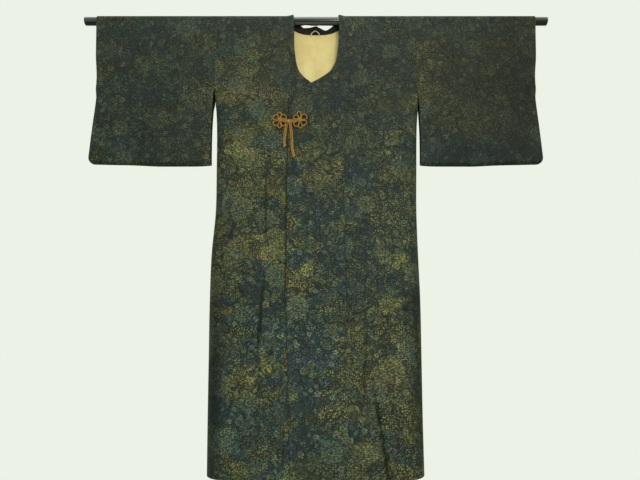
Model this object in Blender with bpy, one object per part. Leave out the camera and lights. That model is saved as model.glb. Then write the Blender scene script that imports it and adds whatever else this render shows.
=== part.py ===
"""A long michiyuki coat of patterned silk, hanging by its shoulders on a round lacquered rod.

Metres, +Z up. The origin is on the rod's axis, at the coat's centre, and the coat's front faces -Y.
Left and right are the wearer's, so the coat's left half lies at +X.
"""

import math
from collections import namedtuple

import bmesh
import bpy
from mathutils import Vector

# Driving sizes
ROD_RADIUS = 0.0125
ROD_HALF_LENGTH = 0.700
ROD_SIDES = 24
CLOTH_WALL = 0.0016
LINING_WALL = 0.0010
DRAPE_RADIUS = 0.0140
ARC_STEPS = 8
SEAM_GAP = 0.0003
SIDE_SEAM_GAP = 0.0006
WELD_DISTANCE = 0.00001

HEM_Z = -1.277
HEM_DROP = {"front": 0.008, "back": 0.003}
HEM_HALF_WIDTH = 0.270
FRONT_SEAM_X = 0.0800
BINDING_WIDTH = 0.0120
LAYER_STEP = 0.0013
SLEEVE_SEAM_X = 0.2960
FRONT_SLEEVE_JOIN_Z = -0.217
BACK_SLEEVE_JOIN_Z = -0.263
SIDE_SEAM_TOP_Z = -0.310
EAR_HEIGHT = 0.0055
EAR_INNER_X = 0.068
EAR_OUTER_X = 0.092

CORD_RADIUS = 0.0017
TAIL_RADIUS = 0.0020
LIE = 0.0003

# Half widths of the hanging body, at the coat's right side and at its left side
BodySide = namedtuple("BodySide", "z right left")
BODY_SIDES = (
    BodySide(-0.217, 0.2958, 0.2960),
    BodySide(-0.272, 0.2908, 0.2975),
    BodySide(-0.354, 0.2843, 0.2905),
    BodySide(-0.476, 0.2799, 0.2847),
    BodySide(-0.600, 0.2770, 0.2797),
    BodySide(-0.720, 0.2829, 0.2792),
    BodySide(-0.850, 0.2819, 0.2798),
    BodySide(-1.000, 0.2776, 0.2766),
    BodySide(-1.150, 0.2732, 0.2733),
    BodySide(-1.290, 0.2685, 0.2715),
)

# Half the distance between the front and the back cloth
Depth = namedtuple("Depth", "z half_depth")
BODY_DEPTHS = (
    Depth(0.020, 0.0140),
    Depth(-0.217, 0.0140),
    Depth(-0.310, 0.0152),
    Depth(-0.500, 0.0215),
    Depth(-0.800, 0.0330),
    Depth(-1.100, 0.0420),
    Depth(-1.290, 0.0465),
)

# Soft folds: each runs down a line, is highest between its ends, and stands out (+) or sinks in (-)
Fold = namedtuple("Fold", "face x_top z_top x_foot z_foot width height")
BODY_FOLDS = (
    Fold("front", -0.150, -0.480, -0.165, -1.420, 0.034, 0.0050),
    Fold("front", -0.112, -0.640, -0.122, -1.400, 0.020, -0.0045),
    Fold("front", -0.215, -0.560, -0.220, -1.380, 0.026, -0.0040),
    Fold("front", 0.150, -0.560, 0.172, -1.420, 0.026, -0.0045),
    Fold("front", 0.190, -0.620, 0.222, -1.460, 0.032, 0.0065),
    Fold("front", 0.020, -0.620, 0.036, -1.420, 0.040, 0.0035),
    Fold("front", -0.270, -0.230, -0.175, -0.560, 0.024, 0.0030),
    Fold("front", 0.285, -0.220, 0.150, -0.500, 0.022, 0.0034),
    Fold("back", -0.200, -0.420, -0.185, -1.440, 0.034, 0.0060),
    Fold("back", -0.118, -0.500, -0.104, -1.400, 0.028, -0.0048),
    Fold("back", -0.040, -0.640, -0.052, -1.440, 0.030, 0.0042),
    Fold("back", 0.062, -0.560, 0.078, -1.420, 0.034, 0.0052),
    Fold("back", 0.138, -0.440, 0.148, -1.400, 0.026, -0.0046),
    Fold("back", 0.205, -0.520, 0.200, -1.440, 0.030, 0.0050),
    Fold("back", 0.270, -0.230, 0.170, -0.520, 0.024, 0.0028),
    Fold("back", -0.268, -0.240, -0.190, -0.500, 0.022, 0.0028),
)
FOLD_SIDE_FADE = 0.050

# Neck edge of each front, from beside the rod to the corner at the front's free edge
NeckPoint = namedtuple("NeckPoint", "x z")
LEFT_FRONT_NECK = (
    NeckPoint(0.0697, -0.0120),
    NeckPoint(0.0691, -0.0393),
    NeckPoint(0.0682, -0.0728),
    NeckPoint(0.0653, -0.1059),
    NeckPoint(0.0597, -0.1388),
    NeckPoint(0.0517, -0.1584),
    NeckPoint(0.0422, -0.1745),
    NeckPoint(0.0269, -0.1881),
    NeckPoint(0.0063, -0.2016),
    NeckPoint(-0.0126, -0.2119),
    NeckPoint(-0.0330, -0.2225),
    NeckPoint(-0.0550, -0.2340),
    NeckPoint(-0.0765, -0.2450),
)
RIGHT_FRONT_NECK = (
    NeckPoint(0.0660, -0.0120),
    NeckPoint(0.0651, -0.0393),
    NeckPoint(0.0647, -0.0728),
    NeckPoint(0.0629, -0.1059),
    NeckPoint(0.0587, -0.1388),
    NeckPoint(0.0546, -0.1584),
    NeckPoint(0.0480, -0.1755),
    NeckPoint(0.0353, -0.1923),
    NeckPoint(0.0217, -0.2036),
    NeckPoint(0.0126, -0.2119),
    NeckPoint(-0.0120, -0.2300),
    NeckPoint(-0.0440, -0.2460),
    NeckPoint(-0.0765, -0.2580),
)
FIRST_PANEL_ROW = 4
BINDING_FULL_Z = -0.070
BINDING_NARROW_Z = -0.130

# Neck edge over the rod: angle 180 is the rod's front, 90 its top, 0 its back
NeckTurn = namedtuple("NeckTurn", "angle edge_x")
LEFT_NECK_TURN = (
    NeckTurn(180.0, 0.0700),
    NeckTurn(150.0, 0.0695),
    NeckTurn(120.0, 0.0688),
    NeckTurn(90.0, 0.0680),
    NeckTurn(60.0, 0.0668),
    NeckTurn(30.0, 0.0645),
)
RIGHT_NECK_TURN = (
    NeckTurn(180.0, 0.0665),
    NeckTurn(150.0, 0.0672),
    NeckTurn(120.0, 0.0678),
    NeckTurn(90.0, 0.0680),
    NeckTurn(60.0, 0.0664),
    NeckTurn(30.0, 0.0635),
)

# Back of the neck, from beside the rod to the centre seam: the free edge and the seam of the binding
BackNeck = namedtuple("BackNeck", "edge_x edge_z seam_x seam_z")
LEFT_BACK_NECK = (
    BackNeck(0.0600, 0.0010, 0.0800, 0.0000),
    BackNeck(0.0521, -0.0055, 0.0730, -0.0130),
    BackNeck(0.0429, -0.0135, 0.0580, -0.0235),
    BackNeck(0.0290, -0.0208, 0.0360, -0.0315),
    BackNeck(0.0122, -0.0118, 0.0160, -0.0240),
    BackNeck(0.0000, -0.0048, 0.0000, -0.0170),
)
RIGHT_BACK_NECK = (
    BackNeck(0.0580, 0.0040, 0.0800, 0.0000),
    BackNeck(0.0477, -0.0045, 0.0730, -0.0120),
    BackNeck(0.0369, -0.0119, 0.0560, -0.0200),
    BackNeck(0.0185, -0.0104, 0.0340, -0.0240),
    BackNeck(0.0080, -0.0072, 0.0150, -0.0215),
    BackNeck(0.0000, -0.0048, 0.0000, -0.0170),
)
BACK_NECK_STAND = 0.0020

# Free vertical edge of the overlap panels, as a distance past the centre line
FreeEdge = namedtuple("FreeEdge", "z x")
FREE_EDGE = (
    FreeEdge(-0.245, 0.0765),
    FreeEdge(-0.297, 0.0774),
    FreeEdge(-0.512, 0.0787),
    FreeEdge(-0.793, 0.0764),
    FreeEdge(-0.976, 0.0709),
    FreeEdge(-1.132, 0.0648),
    FreeEdge(-1.290, 0.0594),
)

# Outline of a sleeve: the hand side from the rod down, then the round corner and the bottom
SleeveSide = namedtuple("SleeveSide", "z inner hand")
SLEEVE_SIDES = (
    SleeveSide(0.000, 0.2963, 0.6610),
    SleeveSide(-0.063, 0.2963, 0.6560),
    SleeveSide(-0.130, 0.2963, 0.6510),
    SleeveSide(-0.195, 0.2963, 0.6430),
    SleeveSide(-0.265, 0.2990, 0.6420),
    SleeveSide(-0.354, 0.3010, 0.6450),
    SleeveSide(-0.438, 0.2990, 0.6470),
    SleeveSide(-0.465, 0.2975, 0.6470),
)
SleeveFoot = namedtuple("SleeveFoot", "x z")
SLEEVE_FOOT = (
    SleeveFoot(0.290, -0.4610),
    SleeveFoot(0.330, -0.4640),
    SleeveFoot(0.440, -0.4642),
    SleeveFoot(0.520, -0.4610),
    SleeveFoot(0.627, -0.4585),
    SleeveFoot(0.660, -0.4585),
)
SLEEVE_CORNER_RADIUS = 0.020
SLEEVE_POUCH_TOP = 0.0140
SLEEVE_POUCH_FOOT = 0.0105
HAND_OPENING_Z = -0.228
HAND_CLOSED_Z = -0.262
SLEEVE_FOLDS = (
    Fold("front", 0.400, -0.050, 0.385, -0.560, 0.026, 0.0026),
    Fold("front", 0.500, -0.120, 0.520, -0.560, 0.024, -0.0022),
    Fold("front", 0.585, -0.040, 0.560, -0.520, 0.022, 0.0022),
    Fold("back", 0.370, -0.080, 0.390, -0.560, 0.028, -0.0022),
    Fold("back", 0.460, -0.040, 0.450, -0.560, 0.026, 0.0028),
    Fold("back", 0.560, -0.100, 0.580, -0.540, 0.024, 0.0022),
)

# Lining, built where the open neck shows it
LINING_HALF_WIDTH = 0.130
LINING_FOOT_Z = -0.320
LiningTop = namedtuple("LiningTop", "x z")
LINING_TOP = (
    LiningTop(0.000, -0.0385),
    LiningTop(0.020, -0.0380),
    LiningTop(0.036, -0.0368),
    LiningTop(0.053, -0.0318),
    LiningTop(0.070, -0.0236),
    LiningTop(0.095, -0.0195),
    LiningTop(0.140, -0.0190),
)
LoopPoint = namedtuple("LoopPoint", "x z")
HANG_LOOP = (
    LoopPoint(-0.0162, -0.0470),
    LoopPoint(-0.0150, -0.0400),
    LoopPoint(-0.0112, -0.0310),
    LoopPoint(-0.0025, -0.0255),
    LoopPoint(0.0062, -0.0308),
    LoopPoint(0.0105, -0.0400),
    LoopPoint(0.0118, -0.0470),
)
HANG_LOOP_RADIUS = 0.0016

# Flower knots of the cord fastening: each petal is a loop of cord
Petal = namedtuple("Petal", "angle reach width")
FlowerKnot = namedtuple("FlowerKnot", "x z layer petals")
RIGHT_FLOWER = FlowerKnot(-0.1022, -0.3310, 1, (
    Petal(42.0, 0.0215, 0.0108),
    Petal(97.0, 0.0250, 0.0070),
    Petal(150.0, 0.0222, 0.0108),
    Petal(228.0, 0.0250, 0.0108),
    Petal(271.0, 0.0268, 0.0070),
    Petal(303.0, 0.0240, 0.0100),
))
LEFT_FLOWER = FlowerKnot(-0.0455, -0.3334, -1, (
    Petal(46.0, 0.0250, 0.0108),
    Petal(97.0, 0.0282, 0.0070),
    Petal(137.0, 0.0228, 0.0104),
    Petal(232.0, 0.0235, 0.0104),
    Petal(272.0, 0.0262, 0.0070),
    Petal(326.0, 0.0222, 0.0108),
))
FLOWER_HEART_RADIUS = 0.0068
FLOWER_HEART_DEPTH = 0.0046
PETAL_ROOT = 0.0040
PETAL_STEPS = 14
PETAL_SIDES = 6
PETAL_WEAVE = 0.0003
FLOWER_STAND = 0.0008

CLASP_X = -0.0770
CLASP_Z = -0.3375
CLASP_WIDTH = 0.0180
CLASP_HEIGHT = 0.0095
CLASP_DEPTH = 0.0058
CLASP_ROUND = 0.0018

# Free ends of the cord: two strands hang side by side in each tail
TailPoint = namedtuple("TailPoint", "x z off_cloth")
RIGHT_TAIL = (
    TailPoint(-0.0822, -0.3427, 0.0056),
    TailPoint(-0.0838, -0.3510, 0.0054),
    TailPoint(-0.0858, -0.3640, 0.0048),
    TailPoint(-0.0874, -0.3783, 0.0036),
    TailPoint(-0.0884, -0.3900, 0.0027),
    TailPoint(-0.0886, -0.4025, 0.0025),
    TailPoint(-0.0866, -0.4161, 0.0025),
)
LEFT_TAIL = (
    TailPoint(-0.0728, -0.3427, 0.0056),
    TailPoint(-0.0720, -0.3530, 0.0052),
    TailPoint(-0.0700, -0.3660, 0.0044),
    TailPoint(-0.0684, -0.3800, 0.0034),
    TailPoint(-0.0672, -0.3950, 0.0027),
    TailPoint(-0.0668, -0.4110, 0.0025),
    TailPoint(-0.0654, -0.4260, 0.0025),
    TailPoint(-0.0630, -0.4380, 0.0025),
    TailPoint(-0.0592, -0.4475, 0.0025),
)
STRAND_SPACING = 0.0044
SECOND_STRAND_LESS = 0.0030
TAIL_POINT_SPACING = 0.0080

COLOURS = {
    "cloth": (0.026, 0.037, 0.026, 1.0),
    "lining": (0.700, 0.560, 0.270, 1.0),
    "cord": (0.450, 0.200, 0.028, 1.0),
    "loop": (0.780, 0.700, 0.520, 1.0),
    "lacquer": (0.010, 0.009, 0.009, 1.0),
}


def smooth(value):
    """Rise softly from 0 to 1."""
    value = min(max(value, 0.0), 1.0)
    return value * value * (3.0 - 2.0 * value)


def mix(start, end, share):
    return start + (end - start) * share


def read_table(rows, key, column, place):
    """Read one column of a table at a place between its rows, on a smooth curve through them."""
    ordered = sorted(rows, key=lambda row: getattr(row, key))
    keys = [getattr(row, key) for row in ordered]
    values = [getattr(row, column) for row in ordered]
    place = min(max(place, keys[0]), keys[-1])
    index = 0
    while index < len(keys) - 2 and place > keys[index + 1]:
        index += 1

    def slope(at):
        low = max(at - 1, 0)
        high = min(at + 1, len(keys) - 1)
        return (values[high] - values[low]) / (keys[high] - keys[low])

    span = keys[index + 1] - keys[index]
    share = (place - keys[index]) / span
    square = share * share
    cube = square * share
    return (
        (2.0 * cube - 3.0 * square + 1.0) * values[index]
        + (cube - 2.0 * square + share) * span * slope(index)
        + (3.0 * square - 2.0 * cube) * values[index + 1]
        + (cube - square) * span * slope(index + 1)
    )


def fold_height(folds, face, x, z):
    """Add up the soft folds at one place of a hanging cloth."""
    height = 0.0
    for fold in folds:
        if fold.face != face:
            continue
        share = (fold.z_top - z) / (fold.z_top - fold.z_foot)
        if share <= 0.0 or share >= 1.0:
            continue
        strength = smooth(share * 2.5) * smooth((1.0 - share) * 4.0)
        distance = (x - mix(fold.x_top, fold.x_foot, share)) / fold.width
        height += fold.height * strength * math.exp(-distance * distance)
    return height


def half_depth(z):
    return read_table(BODY_DEPTHS, "z", "half_depth", z)


def half_width(z, side):
    return read_table(BODY_SIDES, "z", "left" if side > 0 else "right", z)


def layer_offset(x, z, layer):
    """The left front lies over the right one, and both ease back to one level at the sides."""
    beside = 1.0 - smooth((abs(x) - FRONT_SEAM_X) / 0.120)
    return layer * LAYER_STEP * smooth((-0.030 - z) / 0.120) * beside


def body_y(face, x, z, layer=0, rounding=1.0, side_x=1.0):
    """Depth of the front or back cloth at a place, with its folds."""
    fade = smooth((side_x - abs(x)) / FOLD_SIDE_FADE)
    out = half_depth(z) * rounding + fold_height(BODY_FOLDS, face, x, z) * fade
    if face == "back":
        return out + neck_stand(x, z)
    return -out + layer_offset(x, z, layer)


def neck_stand(x, z):
    """The back of the neck stands a little off the rod between the shoulders."""
    return BACK_NECK_STAND * smooth(1.0 - abs(x) / 0.075) * smooth((z + 0.120) / 0.100)


def hem_z(face, x):
    return HEM_Z - HEM_DROP[face] * (1.0 - min(abs(x) / HEM_HALF_WIDTH, 1.0) ** 2)


def ear_lift(x, angle):
    """The cloth stands up beside the neck, highest on top of the rod."""
    near = smooth((EAR_OUTER_X - abs(x)) / (EAR_OUTER_X - EAR_INNER_X))
    return EAR_HEIGHT * near * math.sin(math.radians(angle)) ** 2


def over_rod(x, angle):
    turn = math.radians(angle)
    out = Vector((x, DRAPE_RADIUS * math.cos(turn), DRAPE_RADIUS * math.sin(turn)))
    out.z += ear_lift(x, angle)
    return out


def material(name, finish, roughness, metallic=0.0):
    if name in bpy.data.materials:
        return bpy.data.materials[name]
    made = bpy.data.materials.new(name)
    made.use_nodes = True
    shader = made.node_tree.nodes["Principled BSDF"]
    shader.inputs["Base Color"].default_value = COLOURS[finish]
    shader.inputs["Roughness"].default_value = roughness
    shader.inputs["Metallic"].default_value = metallic
    return made


def silk():
    return material("patterned_silk", "cloth", 0.72)


def lining_silk():
    return material("lining_silk", "lining", 0.60)


def silk_cord():
    return material("silk_cord", "cord", 0.55)


def loop_cord():
    return material("loop_cord", "loop", 0.65)


def lacquer():
    return material("black_lacquer", "lacquer", 0.25)


def add_object(name, mesh, finish):
    made = bpy.data.objects.new(name, mesh)
    made.data.materials.append(finish)
    bpy.context.collection.objects.link(made)
    return made


def grids_to_mesh(name, grids):
    """Skin grids of points with four-sided faces and weld the grids where they meet."""
    mesh = bpy.data.meshes.new(name)
    skin = bmesh.new()
    for grid in grids:
        corners = [[skin.verts.new(point) for point in row] for row in grid]
        for upper, lower in zip(corners, corners[1:]):
            for column in range(len(upper) - 1):
                skin.faces.new((upper[column], upper[column + 1], lower[column + 1], lower[column]))
    bmesh.ops.remove_doubles(skin, verts=skin.verts, dist=WELD_DISTANCE)
    bmesh.ops.recalc_face_normals(skin, faces=skin.faces)
    skin.to_mesh(mesh)
    skin.free()
    return mesh


def cloth_piece(name, grids, finish, wall=CLOTH_WALL):
    """Give a cloth surface its thickness, half to each side."""
    piece = add_object(name, grids_to_mesh(name, grids), finish)
    thickness = piece.modifiers.new("wall", "SOLIDIFY")
    thickness.thickness = wall
    thickness.offset = 0.0
    thickness.use_even_offset = True
    piece.data.shade_smooth()
    return piece


def tube_curve(name, points, radius, finish, sides_step=2):
    """A filled cord through points."""
    curve = bpy.data.curves.new(name, "CURVE")
    curve.dimensions = "3D"
    curve.bevel_depth = radius
    curve.bevel_resolution = sides_step
    curve.use_fill_caps = True
    line = curve.splines.new("POLY")
    line.points.add(len(points) - 1)
    for target, point in zip(line.points, points):
        target.co = (point.x, point.y, point.z, 1.0)
    return add_object(name, curve, finish)


def catmull_point(points, index, share):
    """A point on the smooth curve between two of a route's points."""
    before = points[max(index - 1, 0)]
    start = points[index]
    end = points[index + 1]
    after = points[min(index + 2, len(points) - 1)]
    square = share * share
    cube = square * share
    return 0.5 * (
        2.0 * start
        + (end - before) * share
        + (2.0 * before - 5.0 * start + 4.0 * end - after) * square
        + (3.0 * start - before - 3.0 * end + after) * cube
    )


def smooth_route(points, spacing):
    """Points at an even spacing along the smooth curve through a route's points."""
    fine = []
    for index in range(len(points) - 1):
        fine += [catmull_point(points, index, step / 24.0) for step in range(24)]
    fine.append(points[-1])
    length = sum((b - a).length for a, b in zip(fine, fine[1:]))
    count = max(round(length / spacing), 3)
    route = [fine[0]]
    travelled = 0.0
    for start, end in zip(fine, fine[1:]):
        travelled += (end - start).length
        if travelled >= len(route) * length / count - 1e-9 and len(route) < count:
            route.append(end)
    route.append(fine[-1])
    return route


# Body lengths
def row_heights():
    """Heights of the body's rows of points, closer together round the arm opening."""
    heights = [0.0, -0.045, -0.090, -0.140, -0.185, -0.217, -0.240, -0.263, -0.286, -0.310, -0.350]
    step = 0.058
    while heights[-1] - step > HEM_Z + 0.03:
        heights.append(heights[-1] - step)
    heights.append(HEM_Z)
    return heights


def side_edge_x(face, z, side):
    """Where a body length ends at the side: on the sleeve's seam, then on the hanging side."""
    join_z = FRONT_SLEEVE_JOIN_Z if face == "front" else BACK_SLEEVE_JOIN_Z
    free = smooth((join_z - z) / 0.035)
    return mix(SLEEVE_SEAM_X, half_width(z, side), free)


def side_closing(face, z):
    """0 where the side is open, 1 where the side seam joins front and back."""
    join_z = FRONT_SLEEVE_JOIN_Z if face == "front" else BACK_SLEEVE_JOIN_Z
    return smooth((join_z - z) / (join_z - SIDE_SEAM_TOP_Z))


def body_column_point(face, side, place, z_share, top_z):
    """A point of a body length; place runs 0 to 1 over the flat part and 1 to 2 round the side."""
    level = z_share * HEM_Z
    edge_x = side_edge_x(face, level, side)
    round_x = half_depth(level) + 0.004
    flat_end = edge_x - round_x
    if place <= 1.0:
        x = mix(FRONT_SEAM_X + SEAM_GAP / 2.0, flat_end, place)
        rounding = 1.0
    else:
        turn = math.radians(90.0 * (place - 1.0))
        x = flat_end + round_x * math.sin(turn)
        rounding = 1.0 - (1.0 - math.cos(turn)) * side_closing(face, level)
    z = mix(top_z, hem_z(face, x), z_share)
    y = body_y(face, side * x, z, -side, rounding, edge_x)
    if abs(y) < SIDE_SEAM_GAP / 2.0:
        y = math.copysign(SIDE_SEAM_GAP / 2.0, 1.0 if face == "back" else -1.0)
    return Vector((side * x, y, z))


def back_inner_point(side, seam_x, seam_z, z_share):
    """A point of the back between the centre seam and the shoulder's inner edge."""
    x = max(seam_x, SEAM_GAP / 2.0)
    z = mix(seam_z - SEAM_GAP, hem_z("back", x), z_share)
    return Vector((side * x, body_y("back", side * x, z), z))


def body_length(name, side, neck_rows):
    """One loom width of cloth: up the back, over the rod and down the front."""
    shares = [height / HEM_Z for height in row_heights()]
    places = [step / 6.0 for step in range(7)] + [1.0 + step / 4.0 for step in range(1, 5)]
    inner = [(row.seam_x, row.seam_z) for row in reversed(neck_rows[1:])]
    back = []
    for share in shares:
        row = [back_inner_point(side, x, z, share) for x, z in inner]
        row += [body_column_point("back", side, place, share, 0.0) for place in places]
        back.append(row)
    over = []
    for step in range(ARC_STEPS + 1):
        angle = 180.0 * step / ARC_STEPS
        over.append([over_rod(point.x, angle) for point in back[0][len(inner):]])
    front = [[body_column_point("front", side, place, share, 0.0) for place in places] for share in shares]
    return cloth_piece(name, [back, over, front], silk())


# Neck
def front_neck_station(points, side, index):
    """The neck edge and the binding's seam at one row of a front neck table."""
    before = points[max(index - 1, 0)]
    after = points[min(index + 1, len(points) - 1)]
    here = points[index]
    direction = Vector((after.x - before.x, after.z - before.z)).normalized()
    outward = Vector((-direction.y, direction.x))
    last_rows = smooth((index - len(points) + 3) / 2.0)
    down = Vector((0.0, -1.0 / max(abs(outward.y), 0.5)))
    outward = outward.lerp(down, last_rows)
    narrow = smooth((BINDING_FULL_Z - here.z) / (BINDING_FULL_Z - BINDING_NARROW_Z))
    limit = FRONT_SEAM_X - SEAM_GAP / 2.0
    full = Vector((limit, here.z))
    seam = Vector((here.x, here.z)) + outward * BINDING_WIDTH
    seam = full.lerp(seam, narrow)
    seam.x = min(seam.x, limit)
    return Vector((side * here.x, here.z)), Vector((side * seam.x, seam.y))


def front_neck_stations(side):
    points = LEFT_FRONT_NECK if side > 0 else RIGHT_FRONT_NECK
    return [front_neck_station(points, side, index) for index in range(len(points))]


def binding_row(edge, seam, steps=2):
    return [edge.lerp(seam, step / steps) for step in range(steps + 1)]


def front_point(x, z, layer):
    return Vector((x, body_y("front", x, z, layer), z))


def half_binding(side):
    """Rows of the neck binding, from the front's corner up over the shoulder to the centre back."""
    rows = []
    for edge, seam in reversed(front_neck_stations(side)):
        flat = binding_row(edge, seam)
        rows.append([front_point(point.x, point.y, -side) for point in flat])
    turns = LEFT_NECK_TURN if side > 0 else RIGHT_NECK_TURN
    for turn in turns:
        seam_x = FRONT_SEAM_X - SEAM_GAP / 2.0
        flat = [mix(turn.edge_x, seam_x, step / 2.0) for step in range(3)]
        rows.append([over_rod(side * x, turn.angle) for x in flat])
    neck_rows = LEFT_BACK_NECK if side > 0 else RIGHT_BACK_NECK
    for row in neck_rows:
        seam_x = min(row.seam_x, FRONT_SEAM_X - SEAM_GAP / 2.0)
        edge = Vector((side * row.edge_x, row.edge_z))
        seam = Vector((side * seam_x, row.seam_z))
        flat = binding_row(edge, seam)
        rows.append([Vector((p.x, body_y("back", p.x, p.y), p.y)) for p in flat])
    return rows


def neck_binding():
    left = half_binding(1)
    right = half_binding(-1)
    return cloth_piece("neck_binding", [left + list(reversed(right))[1:]], silk())


def overlap_panel(name, side):
    """The straight panel between a body length's front seam and the front's free edge."""
    stations = front_neck_stations(side)[FIRST_PANEL_ROW:]
    top_z = stations[0][1].y
    corner_z = -0.285
    count = len(stations)
    rows = []
    for index, (edge, seam) in enumerate(stations):
        away = (seam - edge).normalized() * SEAM_GAP
        free = seam + away
        seam_z = mix(top_z - 0.004, corner_z, index / (count - 1))
        rows.append((free, Vector((side * (FRONT_SEAM_X - SEAM_GAP / 2.0), seam_z))))
    start_z = rows[-1][0].y
    steps = 18
    for step in range(1, steps + 1):
        share = step / steps
        free_x = -side * read_table(FREE_EDGE, "z", "x", mix(start_z, HEM_Z, share))
        free_z = mix(start_z, hem_z("front", free_x), share)
        seam_x = side * (FRONT_SEAM_X - SEAM_GAP / 2.0)
        seam_z = mix(corner_z, hem_z("front", seam_x), share)
        rows.append((Vector((free_x, free_z)), Vector((seam_x, seam_z))))
    grid = []
    for free, seam in rows:
        flat = [seam.lerp(free, step / 6.0) for step in range(7)]
        grid.append([front_point(point.x, point.y, -side) for point in flat])
    return cloth_piece(name, [grid], silk())


# Sleeves
def sleeve_columns():
    """Places across a sleeve, 0 at the body to 1 at the hand, closer together at the hand side."""
    return [0.0, 0.13, 0.27, 0.41, 0.55, 0.68, 0.80, 0.90, 0.955, 0.981, 0.9945, 1.0]


def sleeve_rows():
    """Places down a sleeve, 0 at the rod to 1 at the foot, closer together at the foot."""
    return [0.0, 0.11, 0.22, 0.33, 0.42, 0.495, 0.565, 0.66, 0.76, 0.86, 0.93, 0.970, 0.985, 0.996, 1.0]


def sleeve_point(face, side, across, down):
    """A point of a sleeve, inside its outline with the round lower corner."""
    level = down * SLEEVE_FOOT[1].z
    inner = read_table(SLEEVE_SIDES, "z", "inner", level)
    join_z = FRONT_SLEEVE_JOIN_Z if face == "front" else BACK_SLEEVE_JOIN_Z
    inner = mix(SLEEVE_SEAM_X + SEAM_GAP, inner, smooth((join_z - level) / 0.030))
    hand = read_table(SLEEVE_SIDES, "z", "hand", level)
    x = mix(inner, hand, across)
    foot = read_table(SLEEVE_FOOT, "x", "z", x)
    z = down * foot
    corner_x = hand - SLEEVE_CORNER_RADIUS
    corner_z = foot + SLEEVE_CORNER_RADIUS
    if x > corner_x and z < corner_z:
        right = (x - corner_x) / SLEEVE_CORNER_RADIUS
        low = (corner_z - z) / SLEEVE_CORNER_RADIUS
        x = corner_x + SLEEVE_CORNER_RADIUS * right * math.sqrt(1.0 - low * low / 2.0)
        z = corner_z - SLEEVE_CORNER_RADIUS * low * math.sqrt(1.0 - right * right / 2.0)
    pouch = mix(SLEEVE_POUCH_TOP, SLEEVE_POUCH_FOOT, smooth(-z / 0.42))
    to_foot = (1.0 - down) * abs(foot)
    to_hand = (1.0 - across) * (hand - inner)
    closing = smooth((HAND_OPENING_Z - level) / (HAND_OPENING_Z - HAND_CLOSED_Z))
    fold = fold_height(SLEEVE_FOLDS, face, x, z)
    out = (pouch + fold) * edge_round(to_foot, pouch)
    out *= 1.0 - closing * (1.0 - edge_round(to_hand, pouch))
    y = out if face == "back" else -out
    return Vector((side * x, y, z))


def edge_round(distance, radius):
    """Round a pouch off towards a closed edge."""
    share = min(distance / radius, 1.0)
    return math.sqrt(1.0 - (1.0 - share) ** 2)


def sleeve(name, side):
    """One width of cloth folded over the rod and sewn along the foot and below the hand opening."""
    columns = sleeve_columns()
    rows = sleeve_rows()
    front = [[sleeve_point("front", side, across, down) for across in columns] for down in rows]
    back = [[sleeve_point("back", side, across, down) for across in columns] for down in rows]
    over = []
    for step in range(ARC_STEPS + 1):
        angle = 180.0 * step / ARC_STEPS
        over.append([over_rod(point.x, angle) for point in back[0]])
    return cloth_piece(name, [front, back, over], silk())


# Lining and hanging loop
def lining_panel(name, side):
    """Half of the back's lining, a seam's gap inside the back cloth."""
    inset = CLOTH_WALL / 2.0 + LINING_WALL / 2.0 + LIE + 0.0001
    columns = [0.0, 0.020, 0.036, 0.053, 0.070, 0.098, LINING_HALF_WIDTH]
    steps = 7
    grid = []
    for step in range(steps + 1):
        row = []
        for column in columns:
            x = max(column, SEAM_GAP / 2.0)
            z = mix(read_table(LINING_TOP, "x", "z", x), LINING_FOOT_Z, step / steps)
            row.append(Vector((side * x, body_y("back", side * x, z) - inset, z)))
        grid.append(row)
    return cloth_piece(name, [grid], lining_silk(), LINING_WALL)


def hang_loop():
    """The short cord sewn to the lining at the centre back, for hanging the coat on a hook."""
    inset = CLOTH_WALL / 2.0 + LINING_WALL + 2.0 * LIE + HANG_LOOP_RADIUS + 0.0001
    points = [Vector((p.x, body_y("back", p.x, p.z) - inset, p.z)) for p in HANG_LOOP]
    return tube_curve("hang_loop", smooth_route(points, 0.0045), HANG_LOOP_RADIUS, loop_cord())


# Cord fastening
def flower_y(x, z, layer):
    """Depth of the flowers' cords, just clear of the cloth under them."""
    return body_y("front", x, z, layer) - CLOTH_WALL / 2.0 - FLOWER_STAND - CORD_RADIUS


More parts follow.
